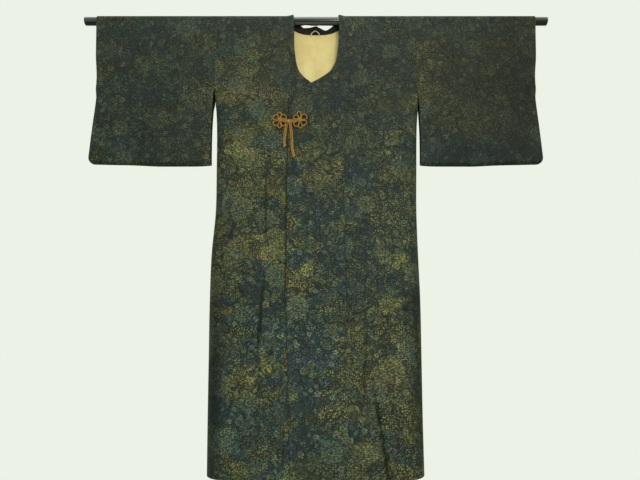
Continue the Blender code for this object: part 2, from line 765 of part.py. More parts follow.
def petal_ring(name, flower, petal, weave):
    """One closed loop of cord, a long ring that starts in the flower's heart and follows the cloth."""
    reach = petal.reach - CORD_RADIUS
    centre_out = (reach + PETAL_ROOT) / 2.0
    half_long = (reach - PETAL_ROOT) / 2.0
    half_wide = petal.width / 2.0
    turn = math.radians(petal.angle)
    outward = Vector((math.cos(turn), 0.0, math.sin(turn)))
    across = Vector((-math.sin(turn), 0.0, math.cos(turn)))
    towards = Vector((0.0, 1.0, 0.0))
    heart = Vector((flower.x, 0.0, flower.z))
    mesh = bpy.data.meshes.new(name)
    ring = bmesh.new()
    loops = []
    for step in range(PETAL_STEPS):
        angle = 2.0 * math.pi * step / PETAL_STEPS
        centre = heart + outward * (centre_out + half_long * math.cos(angle))
        centre += across * (half_wide * math.sin(angle))
        centre.y = flower_y(centre.x, centre.z, flower.layer) + weave
        normal = outward * (half_wide * math.cos(angle)) + across * (half_long * math.sin(angle))
        normal.normalize()
        loop = []
        for corner in range(PETAL_SIDES):
            tilt = 2.0 * math.pi * (corner + 0.5) / PETAL_SIDES
            offset = (normal * math.cos(tilt) + towards * math.sin(tilt)) * CORD_RADIUS
            loop.append(ring.verts.new(centre + offset))
        loops.append(loop)
    for step in range(PETAL_STEPS):
        here = loops[step]
        there = loops[(step + 1) % PETAL_STEPS]
        for corner in range(PETAL_SIDES):
            beside = (corner + 1) % PETAL_SIDES
            ring.faces.new((here[corner], here[beside], there[beside], there[corner]))
    bmesh.ops.recalc_face_normals(ring, faces=ring.faces)
    ring.to_mesh(mesh)
    ring.free()
    guide = add_object(name, mesh, silk_cord())
    guide.hide_render = True
    guide.display_type = "WIRE"
    return guide


def flower_knot(name, flower):
    """A rosette of cord loops round a woven heart, lying on the cloth."""
    heart_y = flower_y(flower.x, flower.z, flower.layer)
    mesh = bpy.data.meshes.new(name)
    heart = bmesh.new()
    bmesh.ops.create_uvsphere(heart, u_segments=12, v_segments=6, radius=FLOWER_HEART_RADIUS)
    for corner in heart.verts:
        corner.co.z *= FLOWER_HEART_DEPTH / 2.0 / FLOWER_HEART_RADIUS
        corner.co = Vector((corner.co.x, corner.co.z, corner.co.y))
        corner.co += Vector((flower.x, heart_y, flower.z))
    bmesh.ops.recalc_face_normals(heart, faces=heart.faces)
    heart.to_mesh(mesh)
    heart.free()
    knot = add_object(name, mesh, silk_cord())
    for index, petal in enumerate(flower.petals):
        weave = PETAL_WEAVE if index % 2 else -PETAL_WEAVE
        guide = petal_ring(f"{name}_petal_{index + 1}", flower, petal, weave)
        join = knot.modifiers.new(f"petal_{index + 1}", "BOOLEAN")
        join.operation = "UNION"
        join.object = guide
    return knot


def clasp_top_y():
    """The back of the clasp, just clear of the left front."""
    return body_y("front", CLASP_X, CLASP_Z, -1) - CLOTH_WALL / 2.0 - LIE - 0.0002


def clasp_knot():
    """The loop and button knot that hold the two flowers together over the front's edge."""
    mesh = bpy.data.meshes.new("clasp_knot")
    block = bmesh.new()
    bmesh.ops.create_cube(block, size=1.0)
    for corner in block.verts:
        corner.co = Vector((
            CLASP_X + corner.co.x * CLASP_WIDTH,
            clasp_top_y() - CLASP_DEPTH / 2.0 + corner.co.y * CLASP_DEPTH,
            CLASP_Z + corner.co.z * CLASP_HEIGHT,
        ))
    block.to_mesh(mesh)
    block.free()
    knot = add_object("clasp_knot", mesh, silk_cord())
    rounding = knot.modifiers.new("rounding", "BEVEL")
    rounding.width = CLASP_ROUND
    rounding.segments = 2
    return knot


def tail_route(points, layer, shift):
    """One strand of a tail: beside its partner, hanging down to lie on the cloth."""
    route = []
    for point in points:
        x = point.x + shift
        y = body_y("front", x, point.z, layer) - CLOTH_WALL / 2.0 - point.off_cloth
        route.append(Vector((x, y, point.z)))
    return route


def shorten(route, length):
    """Take a strand's end back along its last stretch."""
    last = route[-1] - route[-2]
    route[-1] = route[-1] - last.normalized() * length
    return route


def tails():
    """Two pairs of free cord ends."""
    for name, points, layer in (("right_tail", RIGHT_TAIL, 1), ("left_tail", LEFT_TAIL, -1)):
        for strand, sign in (("a", -1), ("b", 1)):
            route = tail_route(points, layer, sign * STRAND_SPACING / 2.0)
            if strand == "b":
                route = shorten(route, SECOND_STRAND_LESS)
            tube_curve(f"{name}_{strand}", smooth_route(route, TAIL_POINT_SPACING), TAIL_RADIUS, silk_cord())


def rod():
    """The straight lacquered rod that the coat hangs on."""
    mesh = bpy.data.meshes.new("rod")
    bar = bmesh.new()
    bmesh.ops.create_cone(
        bar,
        cap_ends=True,
        segments=ROD_SIDES,
        radius1=ROD_RADIUS,
        radius2=ROD_RADIUS,
        depth=2.0 * ROD_HALF_LENGTH,
    )
    for corner in bar.verts:
        corner.co = Vector((corner.co.z, corner.co.x, corner.co.y))
    bmesh.ops.recalc_face_normals(bar, faces=bar.faces)
    bar.to_mesh(mesh)
    bar.free()
    made = add_object("rod", mesh, lacquer())
    made.data.shade_smooth()
    made.data.set_sharp_from_angle(angle=math.radians(40.0))
    return made


def clear_scene():
    for thing in list(bpy.data.objects):
        bpy.data.objects.remove(thing, do_unlink=True)


def main():
    clear_scene()
    rod()
    body_length("left_body", 1, LEFT_BACK_NECK)
    body_length("right_body", -1, RIGHT_BACK_NECK)
    overlap_panel("left_overlap", 1)
    overlap_panel("right_overlap", -1)
    neck_binding()
    sleeve("left_sleeve", 1)
    sleeve("right_sleeve", -1)
    lining_panel("left_lining", 1)
    lining_panel("right_lining", -1)
    hang_loop()
    flower_knot("left_flower_knot", LEFT_FLOWER)
    flower_knot("right_flower_knot", RIGHT_FLOWER)
    clasp_knot()
    tails()


main()
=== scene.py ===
"""Looks of a long michiyuki coat of patterned silk on a lacquered rod.

Metres, +Z up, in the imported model's own frame. The coat's front faces -Y, and the wearer's left is at +X.
"""

import math
from collections import namedtuple
from functools import partial

import bmesh
import bpy
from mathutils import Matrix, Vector, noise


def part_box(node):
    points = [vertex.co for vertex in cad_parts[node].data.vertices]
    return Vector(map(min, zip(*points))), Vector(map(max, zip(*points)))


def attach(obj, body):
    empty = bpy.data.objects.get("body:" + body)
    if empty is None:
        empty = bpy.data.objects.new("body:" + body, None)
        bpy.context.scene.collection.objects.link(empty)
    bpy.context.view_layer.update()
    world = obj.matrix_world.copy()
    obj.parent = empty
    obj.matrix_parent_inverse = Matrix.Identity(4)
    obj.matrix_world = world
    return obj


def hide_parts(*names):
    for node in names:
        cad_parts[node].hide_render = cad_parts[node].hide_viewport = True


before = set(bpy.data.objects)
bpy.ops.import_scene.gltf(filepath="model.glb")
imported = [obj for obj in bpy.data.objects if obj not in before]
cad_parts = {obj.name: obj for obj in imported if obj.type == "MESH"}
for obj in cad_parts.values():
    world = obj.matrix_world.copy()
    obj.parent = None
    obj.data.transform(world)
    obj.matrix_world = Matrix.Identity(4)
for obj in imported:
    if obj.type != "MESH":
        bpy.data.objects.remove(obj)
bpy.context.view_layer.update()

bl_info = {
    "name": "Michiyuki coat on a rod",
    "version": (1, 0, 0),
    "blender": (4, 5, 0),
    "location": "3D View > Sidebar > Coat",
    "description": "Dresses the packed coat with its cloth, cords, finishes and studio",
    "category": "Add Mesh",
}


def table(columns, *rows):
    """Rows of values under named columns."""
    kind = namedtuple("Row", columns)
    return tuple(kind(*row) for row in rows)


# Sizes of the coat's cut, as its solids have them
CLOTH_WALL = 0.0016
LINING_WALL = 0.0010
DRAPE_RADIUS = 0.0140
ROUND_ROD = math.pi * DRAPE_RADIUS
SEAM_GAP = 0.00004
UNDER_BINDING = 0.0015
WELD_DISTANCE = 0.00015
SOFT_EDGE_ANGLE = 50.0
LIE = 0.0003

# Steps of the cloth's meshes
BODY_ROWS = 176
BODY_COLUMNS = 92
BACK_INNER_COLUMNS = 22
SIDE_STEPS = 10
ROD_STEPS = 16
NECK_STEPS = 6
NECK_TURN_STEP = 7.5
BINDING_STEPS = 8
PANEL_ROWS = 130
PANEL_COLUMNS = 84
SLEEVE_ROWS = 64
SLEEVE_COLUMNS = 80
CLOSED_EDGE_STEPS = 8
LINING_ROWS = 64
LINING_COLUMNS = 30
STITCHED_STEPS = 60

HEM_Z = -1.277
HEM_DROP = {"front": 0.008, "back": 0.003}
HEM_HALF_WIDTH = 0.270
FRONT_SEAM_X = 0.0800
SEAM_EDGE_X = FRONT_SEAM_X - SEAM_GAP / 2.0
LAYER_STEP = 0.0013
LAYERS_FROM_Z = -0.030
LAYERS_EASE = 0.120
SIDE_ROUND = 0.004
SIDE_EASE = 0.035
SIDE_DIP_FROM = 1.7
SLEEVE_EASE = 0.030
SEAM_END_EASE = 0.02
SLEEVE_SEAM_X = 0.2960
SLEEVE_JOIN_Z = {"front": -0.217, "back": -0.263}
SIDE_SEAM_TOP_Z = -0.310
BODY_SIDES = table(
    "z right left",
    (-0.217, 0.2958, 0.2960),
    (-0.272, 0.2908, 0.2975),
    (-0.354, 0.2843, 0.2905),
    (-0.476, 0.2799, 0.2847),
    (-0.600, 0.2770, 0.2797),
    (-0.720, 0.2829, 0.2792),
    (-0.850, 0.2819, 0.2798),
    (-1.000, 0.2776, 0.2766),
    (-1.150, 0.2732, 0.2733),
    (-1.290, 0.2685, 0.2715),
)
BODY_DEPTHS = table(
    "z half_depth",
    (0.020, 0.0140), (-0.217, 0.0140), (-0.310, 0.0152), (-0.500, 0.0215),
    (-0.800, 0.0330), (-1.100, 0.0420), (-1.290, 0.0465),
)

# Broad folds of the solids, then the finer creases that only the cloth has
FOLD = "x_top z_top x_foot z_foot width height"
FRONT_FOLDS = table(
    FOLD,
    (-0.150, -0.480, -0.165, -1.420, 0.034, 0.0050),
    (-0.112, -0.640, -0.122, -1.400, 0.020, -0.0045),
    (-0.215, -0.560, -0.220, -1.380, 0.026, -0.0040),
    (0.150, -0.560, 0.172, -1.420, 0.026, -0.0045),
    (0.190, -0.620, 0.222, -1.460, 0.032, 0.0065),
    (0.020, -0.620, 0.036, -1.420, 0.040, 0.0035),
    (-0.270, -0.230, -0.175, -0.560, 0.024, 0.0030),
    (0.285, -0.220, 0.150, -0.500, 0.022, 0.0034),
    (-0.143, -0.440, -0.132, -0.730, 0.0036, -0.0046),
    (-0.140, -0.682, -0.072, -0.732, 0.0085, -0.0030),
    (-0.133, -0.735, -0.148, -0.990, 0.0038, -0.0050),
    (-0.146, -0.850, -0.142, -1.280, 0.0040, -0.0036),
    (-0.124, -0.440, -0.118, -0.900, 0.0080, 0.0018),
    (0.137, -0.850, 0.120, -1.110, 0.0038, -0.0044),
    (0.138, -1.010, 0.186, -1.330, 0.0040, -0.0062),
    (0.152, -1.010, 0.200, -1.330, 0.0085, 0.0032),
    (0.236, -0.800, 0.232, -0.950, 0.0046, -0.0038),
    (-0.062, -1.194, -0.105, -1.226, 0.0080, -0.0034),
    (0.095, -0.382, -0.020, -0.432, 0.0120, -0.0026),
    (0.110, -0.368, 0.000, -0.416, 0.0150, 0.0014),
    (0.288, -0.332, 0.108, -0.484, 0.0140, -0.0032),
    (0.290, -0.310, 0.120, -0.455, 0.0180, 0.0016),
    (-0.236, -0.480, -0.246, -1.300, 0.0100, 0.0012),
    (-0.192, -0.700, -0.186, -1.500, 0.0090, -0.0010),
    (-0.044, -0.420, -0.038, -0.980, 0.0120, 0.0008),
    (0.052, -0.330, 0.046, -1.360, 0.0090, 0.0009),
    (-0.012, -0.760, 0.000, -1.500, 0.0100, -0.0009),
    (0.112, -0.360, 0.118, -0.920, 0.0110, 0.0010),
    (0.132, -0.840, 0.140, -1.500, 0.0080, 0.0010),
    (0.246, -0.420, 0.250, -1.220, 0.0100, -0.0011),
    (0.205, -0.900, 0.196, -1.500, 0.0090, -0.0010),
    (-0.094, -0.030, -0.142, -0.230, 0.0070, 0.0010),
    (0.096, -0.030, 0.146, -0.250, 0.0070, 0.0011),
    (0.110, -0.025, 0.196, -0.200, 0.0080, -0.0008),
    (-0.288, -0.205, -0.222, -0.370, 0.0080, 0.0014),
    (0.289, -0.205, 0.232, -0.345, 0.0080, 0.0015),
    (0.280, -0.225, 0.190, -0.420, 0.0090, -0.0010),
    (-0.112, -0.336, -0.132, -0.440, 0.0070, 0.0008),
    (-0.048, -0.340, -0.026, -0.450, 0.0070, 0.0008),
)
BACK_FOLDS = table(
    FOLD,
    (-0.200, -0.420, -0.185, -1.440, 0.034, 0.0060),
    (-0.118, -0.500, -0.104, -1.400, 0.028, -0.0048),
    (-0.040, -0.640, -0.052, -1.440, 0.030, 0.0042),
    (0.062, -0.560, 0.078, -1.420, 0.034, 0.0052),
    (0.138, -0.440, 0.148, -1.400, 0.026, -0.0046),
    (0.205, -0.520, 0.200, -1.440, 0.030, 0.0050),
    (0.270, -0.230, 0.170, -0.520, 0.024, 0.0028),
    (-0.268, -0.240, -0.190, -0.500, 0.022, 0.0028),
    (-0.160, -0.260, -0.168, -1.500, 0.0070, 0.0013),
    (0.026, -0.330, 0.020, -1.200, 0.0100, -0.0010),
    (0.108, -0.420, 0.112, -1.500, 0.0080, 0.0012),
    (-0.076, -0.380, -0.084, -1.100, 0.0090, 0.0010),
    (0.240, -0.460, 0.236, -1.360, 0.0100, -0.0012),
    (-0.238, -0.600, -0.232, -1.500, 0.0090, 0.0011),
    (0.178, -0.700, 0.170, -1.500, 0.0080, 0.0010),
    (-0.286, -0.250, -0.214, -0.420, 0.0080, 0.0014),
    (0.287, -0.250, 0.222, -0.400, 0.0080, 0.0014),
    (-0.090, -0.025, -0.150, -0.180, 0.0080, 0.0009),
    (0.090, -0.025, 0.158, -0.200, 0.0080, 0.0009),
)
BODY_FOLDS = {"front": FRONT_FOLDS, "back": BACK_FOLDS}
FOLD_SIDE_FADE = 0.050
RELIEF_FADE = 0.030
SHOULDER_FOOT_Z = -0.20
SHOULDER_FADE = 0.05
SEAM_DIP_WIDTH = 0.0026
CENTRE_SEAM_SHARE = 0.4
RIPPLES = table("across along share seed", (0.055, 0.190, 1.00, 0.0), (0.017, 0.055, 0.30, 5.0))
RIPPLE_SEEDS = {"front": 3.0, "back": 11.0}
# Narrow creases of the front, which the dye attribute darkens with painted shade
FRONT_CREASES = [fold for fold in FRONT_FOLDS if fold.width < 0.006 and fold.height < 0.0]
CREASE_SHADE = 110.0
SLEEVE_FOLDS = {
    "front": table(
        FOLD,
        (0.400, -0.050, 0.385, -0.560, 0.026, 0.0026),
        (0.500, -0.120, 0.520, -0.560, 0.024, -0.0022),
        (0.585, -0.040, 0.560, -0.520, 0.022, 0.0022),
        (0.352, -0.030, 0.342, -0.500, 0.0090, 0.0009),
        (0.446, -0.060, 0.452, -0.520, 0.0080, 0.0010),
        (0.474, -0.200, 0.466, -0.600, 0.0070, -0.0008),
        (0.552, -0.030, 0.548, -0.420, 0.0080, -0.0009),
        (0.612, -0.080, 0.606, -0.560, 0.0080, 0.0009),
    ),
    "back": table(
        FOLD,
        (0.370, -0.080, 0.390, -0.560, 0.028, -0.0022),
        (0.460, -0.040, 0.450, -0.560, 0.026, 0.0028),
        (0.560, -0.100, 0.580, -0.540, 0.024, 0.0022),
        (0.338, -0.040, 0.344, -0.540, 0.0080, 0.0009),
        (0.420, -0.150, 0.424, -0.600, 0.0090, -0.0009),
        (0.512, -0.030, 0.506, -0.460, 0.0080, 0.0010),
        (0.606, -0.060, 0.612, -0.560, 0.0080, -0.0008),
    ),
}
LINING_FOLDS = table(
    FOLD,
    (-0.040, -0.030, -0.020, -0.380, 0.0090, 0.0018),
    (0.032, -0.036, 0.014, -0.360, 0.0110, 0.0017),
    (-0.062, -0.060, -0.048, -0.300, 0.0080, 0.0013),
    (0.060, -0.050, 0.046, -0.320, 0.0090, 0.0013),
)

# Neck edges, as on the solids; 1 is the coat's left side and -1 its right side
BINDING_WIDTH = 0.0120
BINDING_TUCK = 0.6
BINDING_FULL_Z = -0.070
BINDING_NARROW_Z = -0.130
EAR_HEIGHT = 0.0055
EAR_INNER_X = 0.068
EAR_OUTER_X = 0.092
BACK_NECK_STAND = 0.0020
BACK_NECK_HALF_WIDTH = 0.075
BACK_NECK_FOOT_Z = -0.120
BACK_NECK_EASE = 0.100
FRONT_NECKS = {
    1: table(
        "x z",
        (0.0697, -0.0120), (0.0691, -0.0393), (0.0682, -0.0728), (0.0653, -0.1059), (0.0597, -0.1388),
        (0.0517, -0.1584), (0.0422, -0.1745), (0.0269, -0.1881), (0.0063, -0.2016), (-0.0126, -0.2119),
        (-0.0330, -0.2225), (-0.0550, -0.2340), (-0.0765, -0.2450),
    ),
    -1: table(
        "x z",
        (0.0660, -0.0120), (0.0651, -0.0393), (0.0647, -0.0728), (0.0629, -0.1059), (0.0587, -0.1388),
        (0.0546, -0.1584), (0.0480, -0.1755), (0.0353, -0.1923), (0.0217, -0.2036), (0.0126, -0.2119),
        (-0.0120, -0.2300), (-0.0440, -0.2460), (-0.0765, -0.2580),
    ),
}
FIRST_PANEL_ROW = 2.5
PANEL_CORNER_Z = -0.285
PANEL_TUCK = 0.001
NECK_TURNS = table(
    "angle left right",
    (180.0, 0.0700, 0.0665),
    (150.0, 0.0695, 0.0672),
    (120.0, 0.0688, 0.0678),
    (90.0, 0.0680, 0.0680),
    (60.0, 0.0668, 0.0664),
    (30.0, 0.0645, 0.0635),
)
NECK_ROW = "edge_x edge_z seam_x seam_z"
BACK_NECKS = {
    1: table(
        NECK_ROW,
        (0.0600, 0.0010, 0.0800, 0.0000),
        (0.0521, -0.0055, 0.0730, -0.0130),
        (0.0429, -0.0135, 0.0580, -0.0235),
        (0.0290, -0.0208, 0.0360, -0.0315),
        (0.0122, -0.0118, 0.0160, -0.0240),
        (0.0000, -0.0048, 0.0000, -0.0170),
    ),
    -1: table(
        NECK_ROW,
        (0.0580, 0.0040, 0.0800, 0.0000),
        (0.0477, -0.0045, 0.0730, -0.0120),
        (0.0369, -0.0119, 0.0560, -0.0200),
        (0.0185, -0.0104, 0.0340, -0.0240),
        (0.0080, -0.0072, 0.0150, -0.0215),
        (0.0000, -0.0048, 0.0000, -0.0170),
    ),
}
FREE_EDGE = table(
    "z x",
    (-0.245, 0.0765), (-0.297, 0.0774), (-0.512, 0.0787), (-0.793, 0.0764),
    (-0.976, 0.0709), (-1.132, 0.0648), (-1.290, 0.0594),
)
# Beside the free edge the lower front is pressed back, and along it the upper front rolls forward
EDGE_RELIEF_Z = -0.250
EDGE_RELIEF_EASE = 0.040
PRESSED_TOP_Z = -0.420
PRESSED_FOOT_Z = -1.170
PRESSED_EASE = 0.120
PRESSED_LEAST = 0.30
PRESSED_DEPTH = 0.0034
PRESSED_WIDTH = 0.0034
PRESSED_BESIDE = 0.0024
ROLLED_HEIGHT = 0.0010
ROLLED_WIDTH = 0.0060

SLEEVE_SIDES = table(
    "z inner hand",
    (0.000, 0.2963, 0.6610),
    (-0.063, 0.2963, 0.6560),
    (-0.130, 0.2963, 0.6510),
    (-0.195, 0.2963, 0.6430),
    (-0.265, 0.2990, 0.6420),
    (-0.354, 0.3010, 0.6450),
    (-0.438, 0.2990, 0.6470),
    (-0.465, 0.2975, 0.6470),
)
SLEEVE_FOOT = table(
    "x z",
    (0.290, -0.4610), (0.330, -0.4640), (0.440, -0.4642),
    (0.520, -0.4610), (0.627, -0.4585), (0.660, -0.4585),
)
SLEEVE_LENGTH = 0.4640
SLEEVE_WIDTH = 0.350
SLEEVE_CORNER_RADIUS = 0.020
SLEEVE_POUCH_TOP = 0.0140
SLEEVE_POUCH_FOOT = 0.0105
SLEEVE_POUCH_DEEP_Z = -0.42
HAND_OPENING_Z = -0.228
HAND_CLOSED_Z = -0.262

LINING_HALF_WIDTH = 0.130
LINING_CLEARANCE = 0.0001
LINING_FOOT_Z = -0.320
LINING_TURNED_WIDTH = 0.0022
LINING_TURNED_EASE = 0.0008
LINING_TURNED_THICKNESS = 0.0003
LINING_TOP = table(
    "x z",
    (0.000, -0.0385), (0.020, -0.0380), (0.036, -0.0368), (0.053, -0.0318), (0.070, -0.0236),
    (0.095, -0.0195), (0.140, -0.0190),
)
STITCHED_HALF_WIDTH = 0.068
STITCHES_BELOW_TOP = 0.0026
HANG_LOOP = table(
    "x z",
    (-0.0158, -0.0425), (-0.0148, -0.0385), (-0.0112, -0.0310), (-0.0025, -0.0255),
    (0.0062, -0.0308), (0.0102, -0.0385), (0.0112, -0.0425),
)
HANG_LOOP_RADIUS = 0.0017
HANG_LOOP_CLEARANCE = 0.0003
HANG_LOOP_SEWN_DEPTH = 0.0006
HANG_LOOP_SPACING = 0.0015

# Cord fastening; layer 1 lies on the right front and layer -1 on the left front, over it
FlowerKnot = namedtuple("FlowerKnot", "x z layer petals")
PETAL = "angle reach width"
FLOWERS = {
    "right_flower_knot": FlowerKnot(-0.1022, -0.3310, 1, table(
        PETAL,
        (42.0, 0.0215, 0.0128), (97.0, 0.0250, 0.0086), (150.0, 0.0228, 0.0136),
        (224.0, 0.0256, 0.0122), (268.0, 0.0262, 0.0078), (303.0, 0.0236, 0.0108),
    )),
    "left_flower_knot": FlowerKnot(-0.0455, -0.3334, -1, table(
        PETAL,
        (40.0, 0.0254, 0.0134), (97.0, 0.0282, 0.0086), (139.0, 0.0228, 0.0116),
        (232.0, 0.0240, 0.0120), (275.0, 0.0264, 0.0084), (325.0, 0.0230, 0.0134),
    )),
}
CORD_RADIUS = 0.0017
FLOWER_STAND = 0.0008
PETAL_ROOT = 0.0040
PETAL_NARROW = 0.70
PETAL_FULL = 1.62
PETAL_CLEARANCE = 0.0003
PETAL_TWIST = 0.0007
PETAL_CORD_SCALE = 0.90
PETAL_STEPS = 40
HEART_RADIUS = 0.0066
HEART_DIP = 0.78
HEART_STAND = 0.0010
HEART_CROWN = 0.0012
HEART_WEAVE = 0.0011
HEART_CORD_SCALE = 0.92
HEART_STEPS = 18
CLASP_X = -0.0770
CLASP_Z = -0.3375
CLASP_DEPTH = 0.0058
CLASP_CLEARANCE = 0.0002
JOINING_CORDS_APART = 0.0030
JOINING_FROM_FLOWER = 0.0050
JOINING_FROM_BUTTON = 0.0030
JOINING_IN_HEART = 0.0012
JOINING_RISE = 0.0006
JOINING_LEAN = 0.2
JOINING_SPREAD = 0.25
JOINING_SPACING = 0.0012
BUTTON_RADIUS = 0.0044
BUTTON_CORD = 0.0015
BUTTON_FLATNESS = 0.7
BUTTON_STEPS = 168
# The button's cord goes round 3 times while it swings 4 times between the front and the back
BUTTON_ROUNDS = 3.0
BUTTON_CROSSINGS = 4.0
BUTTON_REACH = 0.92
BUTTON_STRETCH = 1.15
BUTTON_WAVE = 0.0006

TAIL_POINT = "x z off_cloth"
TAILS = {
    "right_tail": (1, table(
        TAIL_POINT,
        (-0.0822, -0.3427, 0.0056), (-0.0838, -0.3510, 0.0054), (-0.0858, -0.3640, 0.0048),
        (-0.0874, -0.3783, 0.0036), (-0.0884, -0.3900, 0.0027), (-0.0886, -0.4025, 0.0025),
        (-0.0866, -0.4161, 0.0025),
    )),
    "left_tail": (-1, table(
        TAIL_POINT,
        (-0.0728, -0.3427, 0.0056), (-0.0720, -0.3530, 0.0052), (-0.0700, -0.3660, 0.0044),
        (-0.0684, -0.3800, 0.0034), (-0.0672, -0.3950, 0.0027), (-0.0668, -0.4110, 0.0025),
        (-0.0654, -0.4260, 0.0025), (-0.0630, -0.4380, 0.0025), (-0.0592, -0.4475, 0.0025),
    )),
}
TAIL_RADIUS = 0.0020
STRAND_SPACING = 0.0044
CLOSE_STRAND_SPACING = 0.0033
STRAND_RISE = 0.0024
SECOND_STRAND_LESS = 0.0030
ROUTE_SPACING = 0.0040
ROUTE_FINE_STEPS = 24
ROUTE_TOLERANCE = 1e-9
TIP_LENGTH = 0.0052
TIP_FROM_END = 0.0006
TIP_THREAD_RADIUS = 0.00020
TIP_THREAD_SUNK = 0.3
TIP_STEPS_PER_TURN = 16

# Where each piece starts in the pattern, which breaks at the seams, its flat cut, and what it hangs from
Cut = namedtuple("Cut", "across along width length area rests_on")
CUTS = {
    "left_body": Cut(0.00, 0.00, 0.300, 2.620, 0.672, ["rod"]),
    "right_body": Cut(3.10, 0.63, 0.300, 2.620, 0.672, ["rod"]),
    "left_overlap": Cut(1.37, 2.20, 0.160, 1.170, 0.167, ["left_body"]),
    "right_overlap": Cut(5.21, 1.10, 0.160, 1.170, 0.165, ["right_body"]),
    "neck_binding": Cut(7.90, 4.40, 0.022, 1.020, 0.0133, ["left_body", "right_body"]),
    "left_sleeve": Cut(2.30, 5.30, 0.365, 0.960, 0.348, ["rod"]),
    "right_sleeve": Cut(6.40, 3.50, 0.365, 0.960, 0.348, ["rod"]),
    "left_lining": Cut(0.00, 0.00, 0.131, 0.302, 0.0385, ["left_body"]),
    "right_lining": Cut(0.40, 0.20, 0.131, 0.302, 0.0385, ["right_body"]),
}

# Soft patches of dye, and painted shade: warm is olive and rust against teal, light is how pale the cloth and
# its figures are; the rows that darken the body's sides, the ground round the flower knots, a fold near the
# hem and the outer sleeve on +X are painted shade
PLAIN_WARMTH = 0.42
PLAIN_LIGHT = 0.50
# Its figures are clear low on the body, and soft on the shoulders and the sleeves
SOFT_FIGURES = 0.30
CLEAR_FIGURES = 0.78
SOFT_TO_Z = -0.16
CLEARING_DOWN = 0.40
SOFT_FROM_X = 0.34
CLEARING_IN = 0.05
DYE = "x z width height warm light"
DYES_AND_PAINTED_SHADE = {
    "front": table(
        DYE,
        (-0.200, -0.245, 0.100, 0.040, 0.46, 0.40),
        (-0.160, -0.120, 0.100, 0.070, 0.22, -0.04),
        (0.180, -0.120, 0.100, 0.090, 0.02, -0.10),
        (0.070, -0.240, 0.040, 0.050, -0.26, -0.04),
        (-0.190, -0.470, 0.070, 0.130, 0.20, 0.12),
        (-0.020, -0.460, 0.050, 0.060, 0.20, 0.12),
        (0.120, -0.440, 0.050, 0.120, -0.16, -0.02),
        (0.000, -0.620, 0.060, 0.070, -0.20, 0.10),
        (-0.200, -0.750, 0.060, 0.040, 0.28, 0.20),
        (-0.048, -0.820, 0.030, 0.070, 0.32, 0.22),
        (0.160, -0.700, 0.080, 0.090, -0.06, 0.04),
        (-0.020, -1.000, 0.100, 0.140, -0.24, 0.40),
        (-0.170, -1.000, 0.060, 0.110, -0.06, 0.10),
        (0.190, -1.000, 0.070, 0.090, 0.26, 0.18),
        (0.110, -1.120, 0.050, 0.070, 0.24, 0.12),
        (0.235, -1.180, 0.040, 0.110, 0.26, -0.16),
        (-0.150, -1.200, 0.090, 0.070, -0.08, 0.04),
        # Painted shade: a dark band where the left side of the body turns away from the light
        (-0.253, -1.080, 0.021, 0.270, -0.06, -0.85),
        (-0.010, -1.205, 0.055, 0.060, -0.16, -0.12),
        # Painted shade: a dark band where the right side of the body turns away from the light
        (0.262, -0.980, 0.017, 0.320, 0.00, -0.56),
        (-0.460, -0.220, 0.160, 0.260, -0.06, -0.06),
        (0.340, -0.190, 0.050, 0.100, 0.24, 0.06),
        # Painted shade: the sleeve on the +X side darkens towards its outer end
        (0.430, -0.240, 0.100, 0.200, 0.20, -0.36),
        (0.600, -0.220, 0.090, 0.300, 0.16, -0.60),
        (0.450, -0.430, 0.150, 0.045, -0.30, -0.20),
        # Painted shade under and round the flower knots and the clasp, darker and browner
        (-0.102, -0.332, 0.023, 0.023, 0.42, -0.80),
        (-0.046, -0.334, 0.023, 0.023, 0.42, -0.80),
        (-0.076, -0.336, 0.018, 0.014, 0.30, -0.60),
        # Painted shade of a short fold near the hem
        (-0.084, -1.212, 0.018, 0.006, 0.00, -0.70),
    ),
    "back": table(
        DYE,
        (0.120, -0.300, 0.090, 0.120, 0.26, 0.14),
        (-0.140, -0.700, 0.090, 0.140, -0.20, 0.06),
        (0.160, -1.000, 0.080, 0.150, 0.24, 0.10),
        (-0.060, -1.100, 0.090, 0.120, 0.14, 0.04),
        (-0.180, -0.180, 0.100, 0.080, 0.16, 0.06),
        (0.060, -0.640, 0.080, 0.120, -0.18, 0.02),
        (0.480, -0.240, 0.160, 0.200, -0.04, -0.18),
        (-0.480, -0.240, 0.160, 0.200, 0.06, -0.18),
    ),
}

# Real spacings in the finishes; dots, lozenges, flecks, threads and fibres are drawn coarser, to show
SILK_DRIFT = 0.0417
SILK_PATCH = 0.0476
SILK_CHIP = 0.0135
SILK_DOT = 0.0059
SILK_LOZENGE = 0.0053
SILK_SCROLL = 0.0095
SILK_STEM = 0.0714
SILK_FLECK = 0.0037
SILK_THREAD = 0.0011
WRONG_SIDE_CLOUD = 0.033
LINING_CLOUD = 0.071
LINING_THREAD = 0.0012
CORD_FIBRE = 0.0011
CORD_PLAIT = 0.0006
LACQUER_WAVE = 0.0167
FLOOR_CLOUD = 0.62

ROD_SIDES = 96
ROD_EDGE_ROUND = 0.0008
ROD_EDGE_STEPS = 3
ROD_SHARP_ANGLE = 40.0

# Studio, with the camera where the photograph was taken from
CAMERA_PLACE = (0.0122, -1.294, -0.9466)
CAMERA_PITCH = 101.7
CAMERA_LENS = 27.0
CAMERA_SENSOR = 36.0
CAMERA_CLIP = 0.02
LAMPS = table(
    "name place size tint",
    ("key", (0.84, -2.74, -0.40), (1.2, 1.2), "#fffaf2"),
    ("fill", (-2.20, -2.40, -0.60), (2.0, 2.0), "#f2f6ff"),
    ("ceiling", (0.00, -0.80, 1.40), (1.8, 0.7), "#fafcff"),
    ("back", (-0.80, 2.70, 0.00), (1.6, 1.6), "#ffffff"),
)
LAMPS_AIM = Vector((0.0, 0.0, -0.60))
FLOOR_Z = -1.600
FLOOR_RADIUS = 1.100
FLOOR_THICKNESS = 0.03


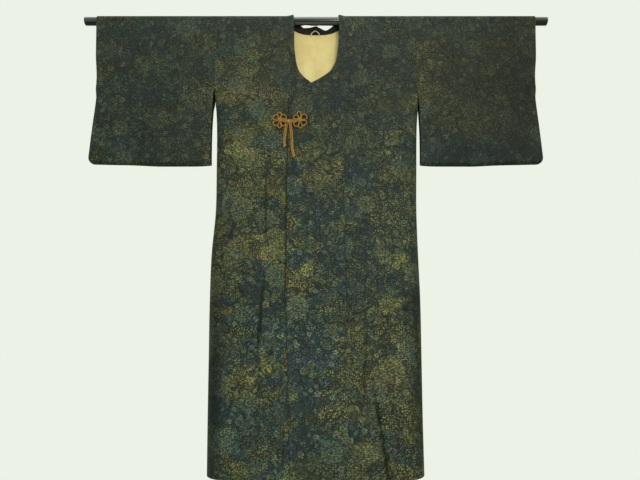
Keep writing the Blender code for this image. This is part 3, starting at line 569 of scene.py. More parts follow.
def smooth(value):
    """Rise softly from 0 to 1, and stay level beyond both."""
    value = min(max(value, 0.0), 1.0)
    return value * value * (3.0 - 2.0 * value)


def mix(start, end, share):
    return start + (end - start) * share


def bell(distance, width):
    """1 on a line, falling softly to nothing beside it."""
    return math.exp(-((distance / width) ** 2))


def smooth_through(keys, values, place):
    """Read a value at a place on the smooth curve through values at rising keys."""
    place = min(max(place, keys[0]), keys[-1])
    index = 0
    while index < len(keys) - 2 and place > keys[index + 1]:
        index += 1

    def slope(at):
        low = max(at - 1, 0)
        high = min(at + 1, len(keys) - 1)
        return (values[high] - values[low]) / (keys[high] - keys[low])

    span = keys[index + 1] - keys[index]
    share = (place - keys[index]) / span
    square = share * share
    cube = square * share
    return (
        (2.0 * cube - 3.0 * square + 1.0) * values[index]
        + (cube - 2.0 * square + share) * span * slope(index)
        + (3.0 * square - 2.0 * cube) * values[index + 1]
        + (cube - square) * span * slope(index + 1)
    )


def read_table(rows, key, column, place):
    """Read one column of a table at a place between its rows."""
    ordered = sorted(rows, key=lambda row: getattr(row, key))
    keys = [getattr(row, key) for row in ordered]
    return smooth_through(keys, [getattr(row, column) for row in ordered], place)


def row_between(rows, place):
    """A table's row at a place between its rows, which count 0, 1, 2 and on."""
    keys = range(len(rows))
    return type(rows[0])(*(smooth_through(keys, column, place) for column in zip(*rows)))


def graded(count, pull):
    """Shares from 0 to 1, closer together towards both ends."""
    shares = [step / count for step in range(count + 1)]
    return [mix(share, (1.0 - math.cos(math.pi * share)) / 2.0, pull) for share in shares]


def to_round_end(count, length, radius):
    """Shares from 0 to 1 that end in the steps of a quarter turn, where cloth rounds off to a closed edge."""
    turn = radius / length
    shares = [(1.0 - turn) * share for share in graded(count, pull=0.5)]
    for step in range(1, CLOSED_EDGE_STEPS + 1):
        shares.append(1.0 - turn * (1.0 - math.sin(math.pi / 2.0 * step / CLOSED_EDGE_STEPS)))
    return shares


# Form of the hanging cloth
def fold_height(folds, x, z):
    """Add up the folds at one place of a hanging cloth; each fades out at its top and sooner at its foot."""
    height = 0.0
    for fold in folds:
        share = (fold.z_top - z) / (fold.z_top - fold.z_foot)
        if 0.0 < share < 1.0:
            strength = smooth(share * 2.5) * smooth((1.0 - share) * 4.0)
            height += fold.height * strength * bell(x - mix(fold.x_top, fold.x_foot, share), fold.width)
    return height


def ripple(face, x, z):
    """The small unevenness of hanging silk: long down the cloth, short across it."""
    height = 0.0
    for size in RIPPLES:
        place = Vector((x / size.across, z / size.along, RIPPLE_SEEDS[face] + size.seed))
        height += size.share * noise.noise(place)
    return bpy.context.scene.coat_cloth.ripple * height


def seam_dip(distance):
    """A pressed seam pulls the cloth in a little on both sides."""
    return bpy.context.scene.coat_cloth.seam_dip * bell(distance, SEAM_DIP_WIDTH)


def half_depth(z):
    return read_table(BODY_DEPTHS, "z", "half_depth", z)


def layer_offset(x, z, layer):
    """The left front lies over the right one, and both ease back to one level at the sides."""
    beside = 1.0 - smooth((abs(x) - FRONT_SEAM_X) / LAYERS_EASE)
    return layer * LAYER_STEP * smooth((LAYERS_FROM_Z - z) / LAYERS_EASE) * beside


def free_edge_relief(x, z, layer):
    """How far the front stands out beside its free edge."""
    beside = x + read_table(FREE_EDGE, "z", "x", z)
    below = smooth((EDGE_RELIEF_Z - z) / EDGE_RELIEF_EASE)
    if layer < 0:
        return ROLLED_HEIGHT * below * bell(beside, ROLLED_WIDTH)
    inside = smooth((PRESSED_TOP_Z - z) / PRESSED_EASE) * smooth((z - PRESSED_FOOT_Z) / PRESSED_EASE)
    strong = mix(PRESSED_LEAST, 1.0, inside)
    return -PRESSED_DEPTH * below * strong * bell(beside + PRESSED_BESIDE, PRESSED_WIDTH)


def body_y(face, x, z, layer=0, rounding=1.0, side_x=1.0):
    """Depth of the front or back cloth at a place, with its folds, ripples and pressed seams."""
    fade = smooth((side_x - abs(x)) / FOLD_SIDE_FADE)
    joined_here = smooth((z - SLEEVE_JOIN_Z[face]) / SEAM_END_EASE)
    relief = ripple(face, x, z) - seam_dip(SLEEVE_SEAM_X - abs(x)) * joined_here
    relief -= seam_dip(x + layer * FRONT_SEAM_X) if face == "front" else CENTRE_SEAM_SHARE * seam_dip(x)
    if face == "front" and layer:
        relief += free_edge_relief(x, z, layer)
    out = half_depth(z) * rounding + fold_height(BODY_FOLDS[face], x, z) * fade
    at_shoulder = smooth((z - SHOULDER_FOOT_Z) / SHOULDER_FADE)
    out += relief * smooth(-z / RELIEF_FADE) * mix(fade, 1.0, at_shoulder)
    if face == "front":
        return -out + layer_offset(x, z, layer)
    near_neck = smooth((z - BACK_NECK_FOOT_Z) / BACK_NECK_EASE)
    return out + BACK_NECK_STAND * smooth(1.0 - abs(x) / BACK_NECK_HALF_WIDTH) * near_neck


def hem_z(face, x):
    return HEM_Z - HEM_DROP[face] * (1.0 - min(abs(x) / HEM_HALF_WIDTH, 1.0) ** 2)


def over_rod(x, angle):
    """A point of the cloth over the rod; it stands up in a small ear beside the neck."""
    turn = math.radians(angle)
    near = smooth((EAR_OUTER_X - abs(x)) / (EAR_OUTER_X - EAR_INNER_X))
    lift = EAR_HEIGHT * near * math.sin(turn) ** 2
    return Vector((x, DRAPE_RADIUS * math.cos(turn), DRAPE_RADIUS * math.sin(turn) + lift))


def dye_and_painted_shade_at(point):
    """Warmth and lightness of the dyed ground at a place on the coat, darkened in places by painted shade,
    and how clear its figures are.
    """
    face = "front" if point.y < 0.0 else "back"
    warm = PLAIN_WARMTH
    light = PLAIN_LIGHT
    clearing = smooth((SOFT_TO_Z - point.z) / CLEARING_DOWN)
    clearing *= smooth((SOFT_FROM_X - abs(point.x)) / CLEARING_IN)
    clear = mix(SOFT_FIGURES, CLEAR_FIGURES, clearing)
    for dye in DYES_AND_PAINTED_SHADE[face]:
        near = bell(point.x - dye.x, dye.width) * bell(point.z - dye.z, dye.height)
        warm += dye.warm * near
        light += dye.light * near
        # Where a patch darkens the cloth as painted shade, its figures soften with it
        clear += 0.5 * dye.light * near
    if face == "front":
        # Painted shade along the front's narrow creases
        light += CREASE_SHADE * fold_height(FRONT_CREASES, point.x, point.z)
    return (min(max(warm, 0.0), 1.0), min(max(light, -0.4), 1.0), min(max(clear, 0.0), 1.0), 1.0)


# Cloth meshes: a spot is a point with its place in the flat cloth
Spot = namedtuple("Spot", "point across along")


def along_cloth(face, z):
    """Place along a length of cloth, which runs up the front, over the rod and down the back."""
    return z if face == "front" else ROUND_ROD - z


def rod_rows(top_row):
    """Rows of spots over the rod, from the back to the front, above a row at the rod's height."""
    rows = []
    for step in range(ROD_STEPS + 1):
        angle = 180.0 * step / ROD_STEPS
        along = ROUND_ROD * (1.0 - angle / 180.0)
        rows.append([Spot(over_rod(spot.point.x, angle), spot.across, along) for spot in top_row])
    return rows


def plain_mesh(name, shape):
    """Keep a bmesh as a mesh."""
    mesh = bpy.data.meshes.new(name)
    shape.to_mesh(mesh)
    shape.free()
    return mesh


def add_object(name, mesh, *finishes):
    made = bpy.data.objects.new(name, mesh)
    for made_finish in finishes:
        mesh.materials.append(made_finish)
    bpy.context.scene.collection.objects.link(made)
    return made


def settle(piece, slot_name, *nodes):
    """A finished piece goes with the coat and stands for its solids."""
    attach(piece, "root")
    if nodes:
        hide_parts(*nodes)
    return piece


# Slot, wall, and the finishes of the right side and the wrong side
SILK = ("patterned_silk", CLOTH_WALL, "figured_silk_crepe", "silk_crepe_wrong_side")
LINING = ("lining_silk", LINING_WALL, "cream_lining_silk")


def cloth_piece(node, grids, slot_name, wall, *finish_names):
    """Skin grids of spots, weld them where they meet, and give the cloth its wall and rounded edges."""
    piece_cut = CUTS[node]
    skin = bmesh.new()
    cut = skin.loops.layers.uv.new("cut")
    dye = skin.verts.layers.float_color.new("dye")
    for grid in grids:
        corners = [[(skin.verts.new(spot.point), spot) for spot in row] for row in grid]
        for upper, lower in zip(corners, corners[1:]):
            for column in range(len(upper) - 1):
                patch = (upper[column], upper[column + 1], lower[column + 1], lower[column])
                face = skin.faces.new([corner for corner, spot in patch])
                for loop, (corner, spot) in zip(face.loops, patch):
                    loop[cut].uv = (spot.across + piece_cut.across, spot.along + piece_cut.along)
    bmesh.ops.remove_doubles(skin, verts=skin.verts, dist=WELD_DISTANCE)
    bmesh.ops.recalc_face_normals(skin, faces=skin.faces)
    foremost = min(skin.faces, key=lambda face: face.calc_center_median().y)
    if foremost.normal.y > 0.0:
        bmesh.ops.reverse_faces(skin, faces=skin.faces)
    # Each corner keeps its dye, with painted shade in its lightness
    for corner in skin.verts:
        corner[dye] = dye_and_painted_shade_at(corner.co)
    mesh = plain_mesh(node, skin)
    mesh.shade_smooth()
    piece = add_object(node + "_cloth", mesh, *(finish(name) for name in finish_names))
    thickness = piece.modifiers.new("wall", "SOLIDIFY")
    thickness.thickness = wall
    thickness.offset = 0.0
    thickness.material_offset = len(finish_names) - 1
    edge = piece.modifiers.new("soft edge", "BEVEL")
    edge.width = bpy.context.scene.coat_cloth.edge_round
    edge.segments = 2
    edge.limit_method = "ANGLE"
    edge.angle_limit = math.radians(SOFT_EDGE_ANGLE)
    settle(piece, slot_name, node)


def body_spot(face, side, place, share):
    """A spot of a body length; place runs 0 to 1 over the flat part and 1 to 2 round the side."""
    level = share * HEM_Z
    join_z = SLEEVE_JOIN_Z[face]
    hanging_x = read_table(BODY_SIDES, "z", "left" if side > 0 else "right", level)
    edge_x = mix(SLEEVE_SEAM_X, hanging_x, smooth((join_z - level) / SIDE_EASE))
    closing = smooth((join_z - level) / (join_z - SIDE_SEAM_TOP_Z))
    round_x = half_depth(level) + SIDE_ROUND
    flat_end = edge_x - round_x
    if place <= 1.0:
        x = mix(FRONT_SEAM_X + SEAM_GAP / 2.0, flat_end, place)
        across = x
        rounding = 1.0
    else:
        turn = math.pi / 2.0 * (place - 1.0)
        x = flat_end + round_x * math.sin(turn)
        across = flat_end + round_x * mix(math.sin(turn), turn, closing)
        rounding = 1.0 - (1.0 - math.cos(turn)) * closing
    z = share * hem_z(face, x)
    y = body_y(face, side * x, z, -side, rounding, edge_x)
    x -= seam_dip(2.0 - place) * closing if place > SIDE_DIP_FROM else 0.0
    return Spot(Vector((side * x, y, z)), side * across, along_cloth(face, z))


def back_inner_spot(side, row, share):
    """A spot of the back between the centre seam and the shoulder's inner edge."""
    x = max(row.seam_x, SEAM_GAP / 2.0)
    z = mix(row.seam_z + UNDER_BINDING, hem_z("back", x), share)
    return Spot(Vector((side * x, body_y("back", side * x, z), z)), side * x, along_cloth("back", z))


def body_grids(side):
    """One loom width of cloth: up the back, over the rod and down the front."""
    shares = graded(BODY_ROWS, pull=0.4)
    places = graded(BODY_COLUMNS, pull=0.3)
    places += [1.0 + step / SIDE_STEPS for step in range(1, SIDE_STEPS + 1)]
    last = len(BACK_NECKS[side]) - 1
    inner_places = [last * (1.0 - share) for share in graded(BACK_INNER_COLUMNS, pull=0.3)[:-1]]
    inner = [row_between(BACK_NECKS[side], place) for place in inner_places]
    back = []
    for share in shares:
        row = [back_inner_spot(side, neck_row, share) for neck_row in inner]
        back.append(row + [body_spot("back", side, place, share) for place in places])
    front = [[body_spot("front", side, place, share) for place in places] for share in shares]
    return [back, rod_rows(back[0][len(inner):]), front]


# Neck
def front_neck_rows(side):
    """The neck edge and the binding's seam at each row of a front neck table."""
    points = FRONT_NECKS[side]
    rows = []
    for index, here in enumerate(points):
        before = points[max(index - 1, 0)]
        after = points[min(index + 1, len(points) - 1)]
        direction = Vector((after.x - before.x, after.z - before.z)).normalized()
        outward = Vector((-direction.y, direction.x))
        down = Vector((0.0, -1.0 / max(abs(outward.y), 0.5)))
        outward = outward.lerp(down, smooth((index - len(points) + 3) / 2.0))
        narrow = smooth((BINDING_FULL_Z - here.z) / (BINDING_FULL_Z - BINDING_NARROW_Z))
        seam = Vector((here.x, here.z)) + outward * BINDING_WIDTH
        seam = Vector((SEAM_EDGE_X, here.z)).lerp(seam, narrow)
        rows.append((here.x, here.z, min(seam.x, SEAM_EDGE_X), seam.y))
    return table(NECK_ROW, *rows)


def strip(edge, seam, outward_at):
    """One row of points across the binding, slightly crowned between its two edges."""
    row = []
    for step in range(BINDING_STEPS + 1):
        share = step / BINDING_STEPS
        point = edge.lerp(seam, share)
        rise = math.sin(math.pi * share) - BINDING_TUCK * share ** 4
        crown = bpy.context.scene.coat_cloth.binding_crown * rise
        row.append(point + outward_at(point) * crown)
    return row


def neck_strip(side, row, face):
    """A row of the binding on the front or back cloth."""
    layer = -side if face == "front" else 0
    outward = Vector((0.0, -1.0 if face == "front" else 1.0, 0.0))
    edge = Vector((side * row.edge_x, 0.0, row.edge_z))
    seam = Vector((side * min(row.seam_x, SEAM_EDGE_X), 0.0, row.seam_z))
    points = strip(edge, seam, lambda point: outward)
    for point in points:
        point.y += body_y(face, point.x, point.z, layer)
    return points


def around(start, end, share):
    """A point between two others on a path that bows round the rod."""
    point = start.lerp(end, share)
    radius = mix(math.hypot(start.y, start.z), math.hypot(end.y, end.z), share)
    stretch = radius / math.hypot(point.y, point.z)
    return Vector((point.x, point.y * stretch, point.z * stretch))


def half_binding(side):
    """Rows of the neck binding, from the front's corner up over the shoulder to the centre back."""
    stations = front_neck_rows(side)
    last = len(stations) - 1
    rows = []
    for step in range(NECK_STEPS * last + 1):
        rows.append(neck_strip(side, row_between(stations, last - step / NECK_STEPS), "front"))
    for step in range(round((180.0 - NECK_TURNS[-1].angle) / NECK_TURN_STEP) + 1):
        angle = 180.0 - NECK_TURN_STEP * step
        edge_x = read_table(NECK_TURNS, "angle", "left" if side > 0 else "right", angle)
        edge = over_rod(side * edge_x, angle)
        seam = over_rod(side * SEAM_EDGE_X, angle)
        rows.append(strip(edge, seam, lambda point: Vector((0.0, point.y, point.z)).normalized()))
    back_rows = BACK_NECKS[side]
    over_the_rod = rows[-1]
    first = neck_strip(side, back_rows[0], "back")
    for share in (0.25, 0.5, 0.75):
        rows.append([around(start, end, share) for start, end in zip(over_the_rod, first)])
    for step in range(NECK_STEPS * (len(back_rows) - 1) + 1):
        rows.append(neck_strip(side, row_between(back_rows, step / NECK_STEPS), "back"))
    return rows


def binding_grids():
    """The whole binding as one strip from corner to corner."""
    rows = half_binding(1) + list(reversed(half_binding(-1)))[1:]
    middle = BINDING_STEPS // 2
    grid = []
    along = 0.0
    for index, row in enumerate(rows):
        along += (row[middle] - rows[max(index - 1, 0)][middle]).length
        across = [BINDING_WIDTH * step / BINDING_STEPS for step in range(BINDING_STEPS + 1)]
        grid.append([Spot(point, place, along) for point, place in zip(row, across)])
    return [grid]


def overlap_grids(side):
    """The straight panel between a body length's front seam and the front's free edge."""
    stations = front_neck_rows(side)
    last = len(stations) - 1
    top_z = row_between(stations, FIRST_PANEL_ROW).seam_z
    seam_x = side * SEAM_EDGE_X
    rows = []
    neck_steps = round(NECK_STEPS * (last - FIRST_PANEL_ROW))
    for step in range(neck_steps + 1):
        row = row_between(stations, mix(FIRST_PANEL_ROW, last, step / neck_steps))
        edge = Vector((side * row.edge_x, row.edge_z))
        seam = Vector((side * row.seam_x, row.seam_z))
        free = seam + (seam - edge).normalized() * SEAM_GAP
        seam_z = mix(top_z - PANEL_TUCK, PANEL_CORNER_Z, step / neck_steps)
        rows.append((free, Vector((seam_x, seam_z))))
    start_z = rows[-1][0].y
    for share in graded(PANEL_ROWS, pull=0.2)[1:]:
        free_x = -side * read_table(FREE_EDGE, "z", "x", mix(start_z, HEM_Z, share))
        free = Vector((free_x, mix(start_z, hem_z("front", free_x), share)))
        rows.append((free, Vector((seam_x, mix(PANEL_CORNER_Z, hem_z("front", seam_x), share)))))
    grid = []
    for free, seam in rows:
        flat = [seam.lerp(free, share) for share in graded(PANEL_COLUMNS, pull=0.45)]
        points = [Vector((spot.x, body_y("front", spot.x, spot.y, -side), spot.y)) for spot in flat]
        grid.append([Spot(point, point.x, point.z) for point in points])
    return [grid]


# Sleeves
def edge_round(distance, radius):
    """Round a pouch off towards a closed edge."""
    share = min(distance / radius, 1.0)
    return math.sqrt(1.0 - (1.0 - share) ** 2)


def sleeve_spot(face, side, across, down):
    """A spot of a sleeve, inside its outline with the round lower corner."""
    level = down * SLEEVE_FOOT[1].z
    join_z = SLEEVE_JOIN_Z[face]
    inner = read_table(SLEEVE_SIDES, "z", "inner", level)
    inner = mix(SLEEVE_SEAM_X + SEAM_GAP, inner, smooth((join_z - level) / SLEEVE_EASE))
    hand = read_table(SLEEVE_SIDES, "z", "hand", level)
    x = mix(inner, hand, across)
    foot = read_table(SLEEVE_FOOT, "x", "z", x)
    z = down * foot
    corner_x = hand - SLEEVE_CORNER_RADIUS
    corner_z = foot + SLEEVE_CORNER_RADIUS
    if x > corner_x and z < corner_z:
        right = (x - corner_x) / SLEEVE_CORNER_RADIUS
        low = (corner_z - z) / SLEEVE_CORNER_RADIUS
        x = corner_x + SLEEVE_CORNER_RADIUS * right * math.sqrt(1.0 - low * low / 2.0)
        z = corner_z - SLEEVE_CORNER_RADIUS * low * math.sqrt(1.0 - right * right / 2.0)
    pouch = mix(SLEEVE_POUCH_TOP, SLEEVE_POUCH_FOOT, smooth(z / SLEEVE_POUCH_DEEP_Z))
    closing = smooth((HAND_OPENING_Z - level) / (HAND_OPENING_Z - HAND_CLOSED_Z))
    relief = ripple(face, side * x, z) - seam_dip(x - SLEEVE_SEAM_X) * smooth((z - join_z) / SEAM_END_EASE)
    fold = fold_height(SLEEVE_FOLDS[face], x, z) + relief * smooth(-z / RELIEF_FADE)
    out = (pouch + fold) * edge_round((1.0 - down) * abs(foot), pouch)
    out *= 1.0 - closing * (1.0 - edge_round((1.0 - across) * (hand - inner), pouch))
    return Spot(Vector((side * x, out if face == "back" else -out, z)), side * x, along_cloth(face, z))


def sleeve_grids(side):
    """One width of cloth folded over the rod and sewn along the foot and below the hand opening."""
    columns = to_round_end(SLEEVE_COLUMNS, SLEEVE_WIDTH, SLEEVE_POUCH_TOP)
    rows = to_round_end(SLEEVE_ROWS, SLEEVE_LENGTH, SLEEVE_POUCH_FOOT)
    front = [[sleeve_spot("front", side, across, down) for across in columns] for down in rows]
    back = [[sleeve_spot("back", side, across, down) for across in columns] for down in rows]
    return [front, back, rod_rows(back[0])]


# Lining
def lining_y(x, z, top_z):
    """Depth of the lining inside the back cloth, thicker along its turned top edge."""
    inset = CLOTH_WALL / 2.0 + LINING_WALL / 2.0 + LIE + LINING_CLEARANCE
    below_turned = smooth((top_z - z - LINING_TURNED_WIDTH) / LINING_TURNED_EASE)
    turned = LINING_TURNED_THICKNESS * (1.0 - below_turned)
    return body_y("back", x, z) - inset - turned - fold_height(LINING_FOLDS, x, z)


def lining_grids(side):
    """Half of the back's lining, a seam's gap inside the back cloth."""
    grid = []
    for down in graded(LINING_ROWS, pull=0.4):
        row = []
        for share in graded(LINING_COLUMNS, pull=0.3):
            x = max(LINING_HALF_WIDTH * share, SEAM_GAP / 2.0)
            top_z = read_table(LINING_TOP, "x", "z", x)
            z = mix(top_z, LINING_FOOT_Z, down)
            row.append(Spot(Vector((side * x, lining_y(side * x, z, top_z), z)), side * x, z))
        grid.append(row)
    return [grid]


def lining_stitch_path():
    path = []
    for step in range(STITCHED_STEPS + 1):
        x = mix(-STITCHED_HALF_WIDTH, STITCHED_HALF_WIDTH, step / STITCHED_STEPS)
        top_z = read_table(LINING_TOP, "x", "z", abs(x))
        z = top_z - STITCHES_BELOW_TOP
        path.append(Vector((x, lining_y(x, z, top_z) - LINING_WALL / 2.0, z)))
    return path


# Cord routes
def catmull_point(points, index, share):
    """A point on the smooth curve between two of a route's points."""
    before = points[max(index - 1, 0)]
    start = points[index]
    end = points[index + 1]
    after = points[min(index + 2, len(points) - 1)]
    square = share * share
    cube = square * share
    return 0.5 * (
        2.0 * start
        + (end - before) * share
        + (2.0 * before - 5.0 * start + 4.0 * end - after) * square
        + (3.0 * start - before - 3.0 * end + after) * cube
    )


def route_length(route):
    return sum((end - start).length for start, end in zip(route, route[1:]))


def smooth_route(points, spacing):
    """Points at an even spacing along the smooth curve through a route's points."""
    fine = []
    for index in range(len(points) - 1):
        for step in range(ROUTE_FINE_STEPS):
            fine.append(catmull_point(points, index, step / ROUTE_FINE_STEPS))
    fine.append(points[-1])
    length = route_length(fine)
    count = max(round(length / spacing), 3)
    route = [fine[0]]
    travelled = 0.0
    for start, end in zip(fine, fine[1:]):
        travelled += (end - start).length
        if travelled >= len(route) * length / count - ROUTE_TOLERANCE and len(route) < count:
            route.append(end)
    route.append(fine[-1])
    return route


def tail_route(points, layer, sign, less):
    """One strand of a tail: beside its partner, then partly over it as both lie down on the cloth."""
    route = []
    for index, point in enumerate(points):
        near = smooth(index / (len(points) - 1) * 1.4 - 0.4)
        x = point.x + sign * mix(STRAND_SPACING, CLOSE_STRAND_SPACING, near) / 2.0
        y = body_y("front", x, point.z, layer) - CLOTH_WALL / 2.0 - point.off_cloth
        route.append(Vector((x, y - (STRAND_RISE * near if sign > 0 else 0.0), point.z)))
    last = route[-1] - route[-2]
    route[-1] = route[-1] - last.normalized() * less
    return smooth_route(route, ROUTE_SPACING)


def tip_path(route):
    """Pale thread wound round the last stretch of a cord's end."""
    end = route[-1]
    direction = (route[-1] - route[-2]).normalized()
    beside = direction.cross(Vector((0.0, 1.0, 0.0))).normalized()
    forward = direction.cross(beside).normalized()
    steps = int(TIP_LENGTH / (2.0 * TIP_THREAD_RADIUS)) * TIP_STEPS_PER_TURN
    radius = TAIL_RADIUS + TIP_THREAD_SUNK * TIP_THREAD_RADIUS
    path = []
    for step in range(steps + 1):
        angle = 2.0 * math.pi * step / TIP_STEPS_PER_TURN
        centre = end - direction * (TIP_LENGTH * (1.0 - step / steps) + TIP_FROM_END)
        path.append(centre + (beside * math.cos(angle) + forward * math.sin(angle)) * radius)
    return path


def flower_y(x, z, layer):
    """Depth of the flowers' cords, just clear of the cloth under them."""
    return body_y("front", x, z, layer) - CLOTH_WALL / 2.0 - FLOWER_STAND - CORD_RADIUS


def petal_path(flower, petal):
    """One loop of cord, narrow where it leaves the heart and round at its outer end."""
    turn = math.radians(petal.angle)
    path = []
    for step in range(PETAL_STEPS):
        angle = 2.0 * math.pi * step / PETAL_STEPS
        outer = (1.0 + math.cos(angle)) / 2.0
        out = mix(PETAL_ROOT, petal.reach - CORD_RADIUS, outer)
        beside = petal.width / 2.0 * math.sin(angle) * mix(PETAL_NARROW, PETAL_FULL, smooth(outer))
        x = flower.x + math.cos(turn) * out - math.sin(turn) * beside
        z = flower.z + math.sin(turn) * out + math.cos(turn) * beside
        lift = PETAL_TWIST * math.sin(angle) * (1.0 - outer)
        path.append(Vector((x, flower_y(x, z, flower.layer) - PETAL_CLEARANCE - lift, z)))
    return path


def heart_paths(flower):
    """The woven heart: each cord starts over its neighbour and ends under the one before."""
    angles = [math.radians(petal.angle) for petal in flower.petals]
    heart_y = flower_y(flower.x, flower.z, flower.layer)
    paths = []
    for index, start in enumerate(angles):
        span = (angles[(index + 2) % len(angles)] - start) % (2.0 * math.pi)
        path = []
        for step in range(HEART_STEPS + 1):
            share = step / HEART_STEPS
            turn = start + span * share
            radius = HEART_RADIUS * (1.0 - HEART_DIP * math.sin(math.pi * share))
            height = HEART_STAND + HEART_CROWN * math.sin(math.pi * share)
            height += HEART_WEAVE * math.sin(2.0 * math.pi * share)
            place = (flower.x + radius * math.cos(turn), heart_y - height, flower.z + radius * math.sin(turn))
            path.append(Vector(place))
        paths.append(path)
    return paths


def clasp_paths():
    """A woven button knot with the double cords that hold it to both flowers."""
    top_y = body_y("front", CLASP_X, CLASP_Z, -1) - CLOTH_WALL / 2.0 - LIE - CLASP_CLEARANCE
    middle_y = top_y - CLASP_DEPTH / 2.0
    button = []
    for step in range(BUTTON_STEPS):
        turn = 2.0 * math.pi * step / BUTTON_STEPS
        rise = BUTTON_REACH * math.sin(BUTTON_CROSSINGS * turn)
        radius = BUTTON_RADIUS + BUTTON_WAVE * math.cos(2.0 * BUTTON_CROSSINGS * turn)
        x = CLASP_X + BUTTON_STRETCH * radius * math.cos(rise) * math.cos(BUTTON_ROUNDS * turn)
        z = CLASP_Z + radius * math.cos(rise) * math.sin(BUTTON_ROUNDS * turn)
        button.append(Vector((x, middle_y - BUTTON_FLATNESS * radius * math.sin(rise), z)))
    cords = []
    for name, away in (("right_flower_knot", -1.0), ("left_flower_knot", 1.0)):
        flower = FLOWERS[name]
        heart_y = flower_y(flower.x, flower.z, flower.layer) - JOINING_IN_HEART
        for beside in (-JOINING_CORDS_APART, 0.0, JOINING_CORDS_APART):
            start = Vector((flower.x - away * JOINING_FROM_FLOWER, heart_y, flower.z + beside))
            end = Vector((CLASP_X + away * JOINING_FROM_BUTTON, middle_y, CLASP_Z + beside))
            bow = Vector((0.0, -JOINING_RISE - JOINING_LEAN * beside, beside * JOINING_SPREAD))
            cords.append(smooth_route([start, start.lerp(end, 0.5) + bow, end], JOINING_SPACING))
    return button, cords


def hang_loop_path():
    inset = CLOTH_WALL / 2.0 + LINING_WALL + 2.0 * LIE + HANG_LOOP_RADIUS + HANG_LOOP_CLEARANCE
    points = [Vector((p.x, body_y("back", p.x, p.z) - inset, p.z)) for p in HANG_LOOP]
    for foot in (points[0], points[-1]):
        foot.y += HANG_LOOP_RADIUS + HANG_LOOP_SEWN_DEPTH
    return smooth_route(points, HANG_LOOP_SPACING)


# Nodes
def linear(hex_colour):
    """An sRGB hex colour as linear red, green and blue, with alpha."""
    parts = [int(hex_colour[start:start + 2], 16) / 255.0 for start in (1, 3, 5)]
    parts = [part / 12.92 if part <= 0.04045 else ((part + 0.055) / 1.055) ** 2.4 for part in parts]
    return (*parts, 1.0)


def add(tree, kind, *values, stops=None, **named):
    """Add a node: values and links fill its open inputs in order, or by a name with a capital.

    Names in small letters are the node's settings, and stops are a colour ramp's places and colours.
    """
    kinds = (family + kind for family in ("ShaderNode", "GeometryNode", ""))
    node = tree.nodes.new(next(kind for kind in kinds if hasattr(bpy.types, kind)))
    for name, value in named.items():
        if name.islower():
            setattr(node, name, value)
    given = list(zip((socket for socket in node.inputs if socket.enabled), values))
    given += [(node.inputs[name.replace("_", " ")], named[name]) for name in named if not name.islower()]
    for target, source in given:
        if isinstance(source, bpy.types.Node):
            source = next(socket for socket in source.outputs if socket.enabled)
        if isinstance(source, bpy.types.NodeSocket):
            tree.links.new(source, target)
        else:
            target.default_value = source
    if stops:
        elements = node.color_ramp.elements
        while len(elements) < len(stops):
            elements.new(0.5)
        for element, (place, colour) in zip(elements, stops.items()):
            element.position = place
            element.color = linear(colour) if isinstance(colour, str) else colour
    return node


def new_tree(name, *inputs):
    """An empty Geometry Nodes tree with a path and named inputs, how to add to it, and what it is given."""
    tree = bpy.data.node_groups.new(name, "GeometryNodeTree")
    for label, kind, value in (("Path", "Geometry", None), *inputs, ("Finish", "Material", None)):
        socket = tree.interface.new_socket(name=label, in_out="INPUT", socket_type="NodeSocket" + kind)
        if value is not None:
            socket.default_value = value
    tree.interface.new_socket(name="Pieces", in_out="OUTPUT", socket_type="NodeSocketGeometry")
    node = partial(add, tree)
    return tree, node, node("NodeGroupInput").outputs


def finish_tree(node, shape, given):
    """Shade smooth, realize what is instanced, give it its material, and end the tree."""
    real = node("RealizeInstances", Geometry=node("SetShadeSmooth", Geometry=shape))
    node("NodeGroupOutput", Pieces=node("SetMaterial", Geometry=real, Material=given["Finish"]))


def cord_tree():
    """Sweep a laid cord's lobed section along a path, twisting in whole turns as it goes."""
    tree, node, given = new_tree(
        "Laid cord",
        ("Radius", "Float", 0.0017),
        ("Strands", "Float", 4.0),
        ("Groove", "Float", 0.14),
        ("Turns per metre", "Float", 150.0),
        ("Step", "Float", 0.0007),
        ("Sides", "Int", 16),
    )
    even = node("ResampleCurve", Curve=given["Path"], Length=given["Step"], mode="LENGTH")
    along = node("SplineParameter").outputs
    whole = node("Math", node("SplineLength"), given["Turns per metre"], operation="MULTIPLY")
    whole = node("Math", whole, operation="ROUND")
    turns = node("Math", along["Factor"], whole, operation="MULTIPLY")
    laid = node("SetCurveTilt", Curve=even, Tilt=node("Math", turns, 2.0 * math.pi, operation="MULTIPLY"))
    marked = node("StoreNamedAttribute", Geometry=laid, Name="along", Value=along["Length"])
    ring = node("CurvePrimitiveCircle", Resolution=given["Sides"], Radius=given["Radius"])
    lobes = node("Math", along["Factor"], given["Strands"], operation="MULTIPLY")
    half_turns = node("Math", lobes, math.pi, operation="MULTIPLY")
    rise = node("Math", node("Math", half_turns, operation="SINE"), operation="ABSOLUTE")
    depth = node("Math", 1.0, rise, operation="SUBTRACT")
    groove = node("Math", depth, given["Groove"], operation="MULTIPLY")
    share = node("Math", 1.0, groove, operation="SUBTRACT")
    place = node("VectorMath", node("InputPosition"), share, operation="SCALE")
    section = node("SetPosition", Geometry=ring, Position=place)
    section = node("StoreNamedAttribute", Geometry=section, Name="groove", Value=depth)
    scale = node("InputRadius")
    swept = node("CurveToMesh", Curve=marked, Profile_Curve=section, Scale=scale, Fill_Caps=True)
    finish_tree(node, swept, given)
    return tree


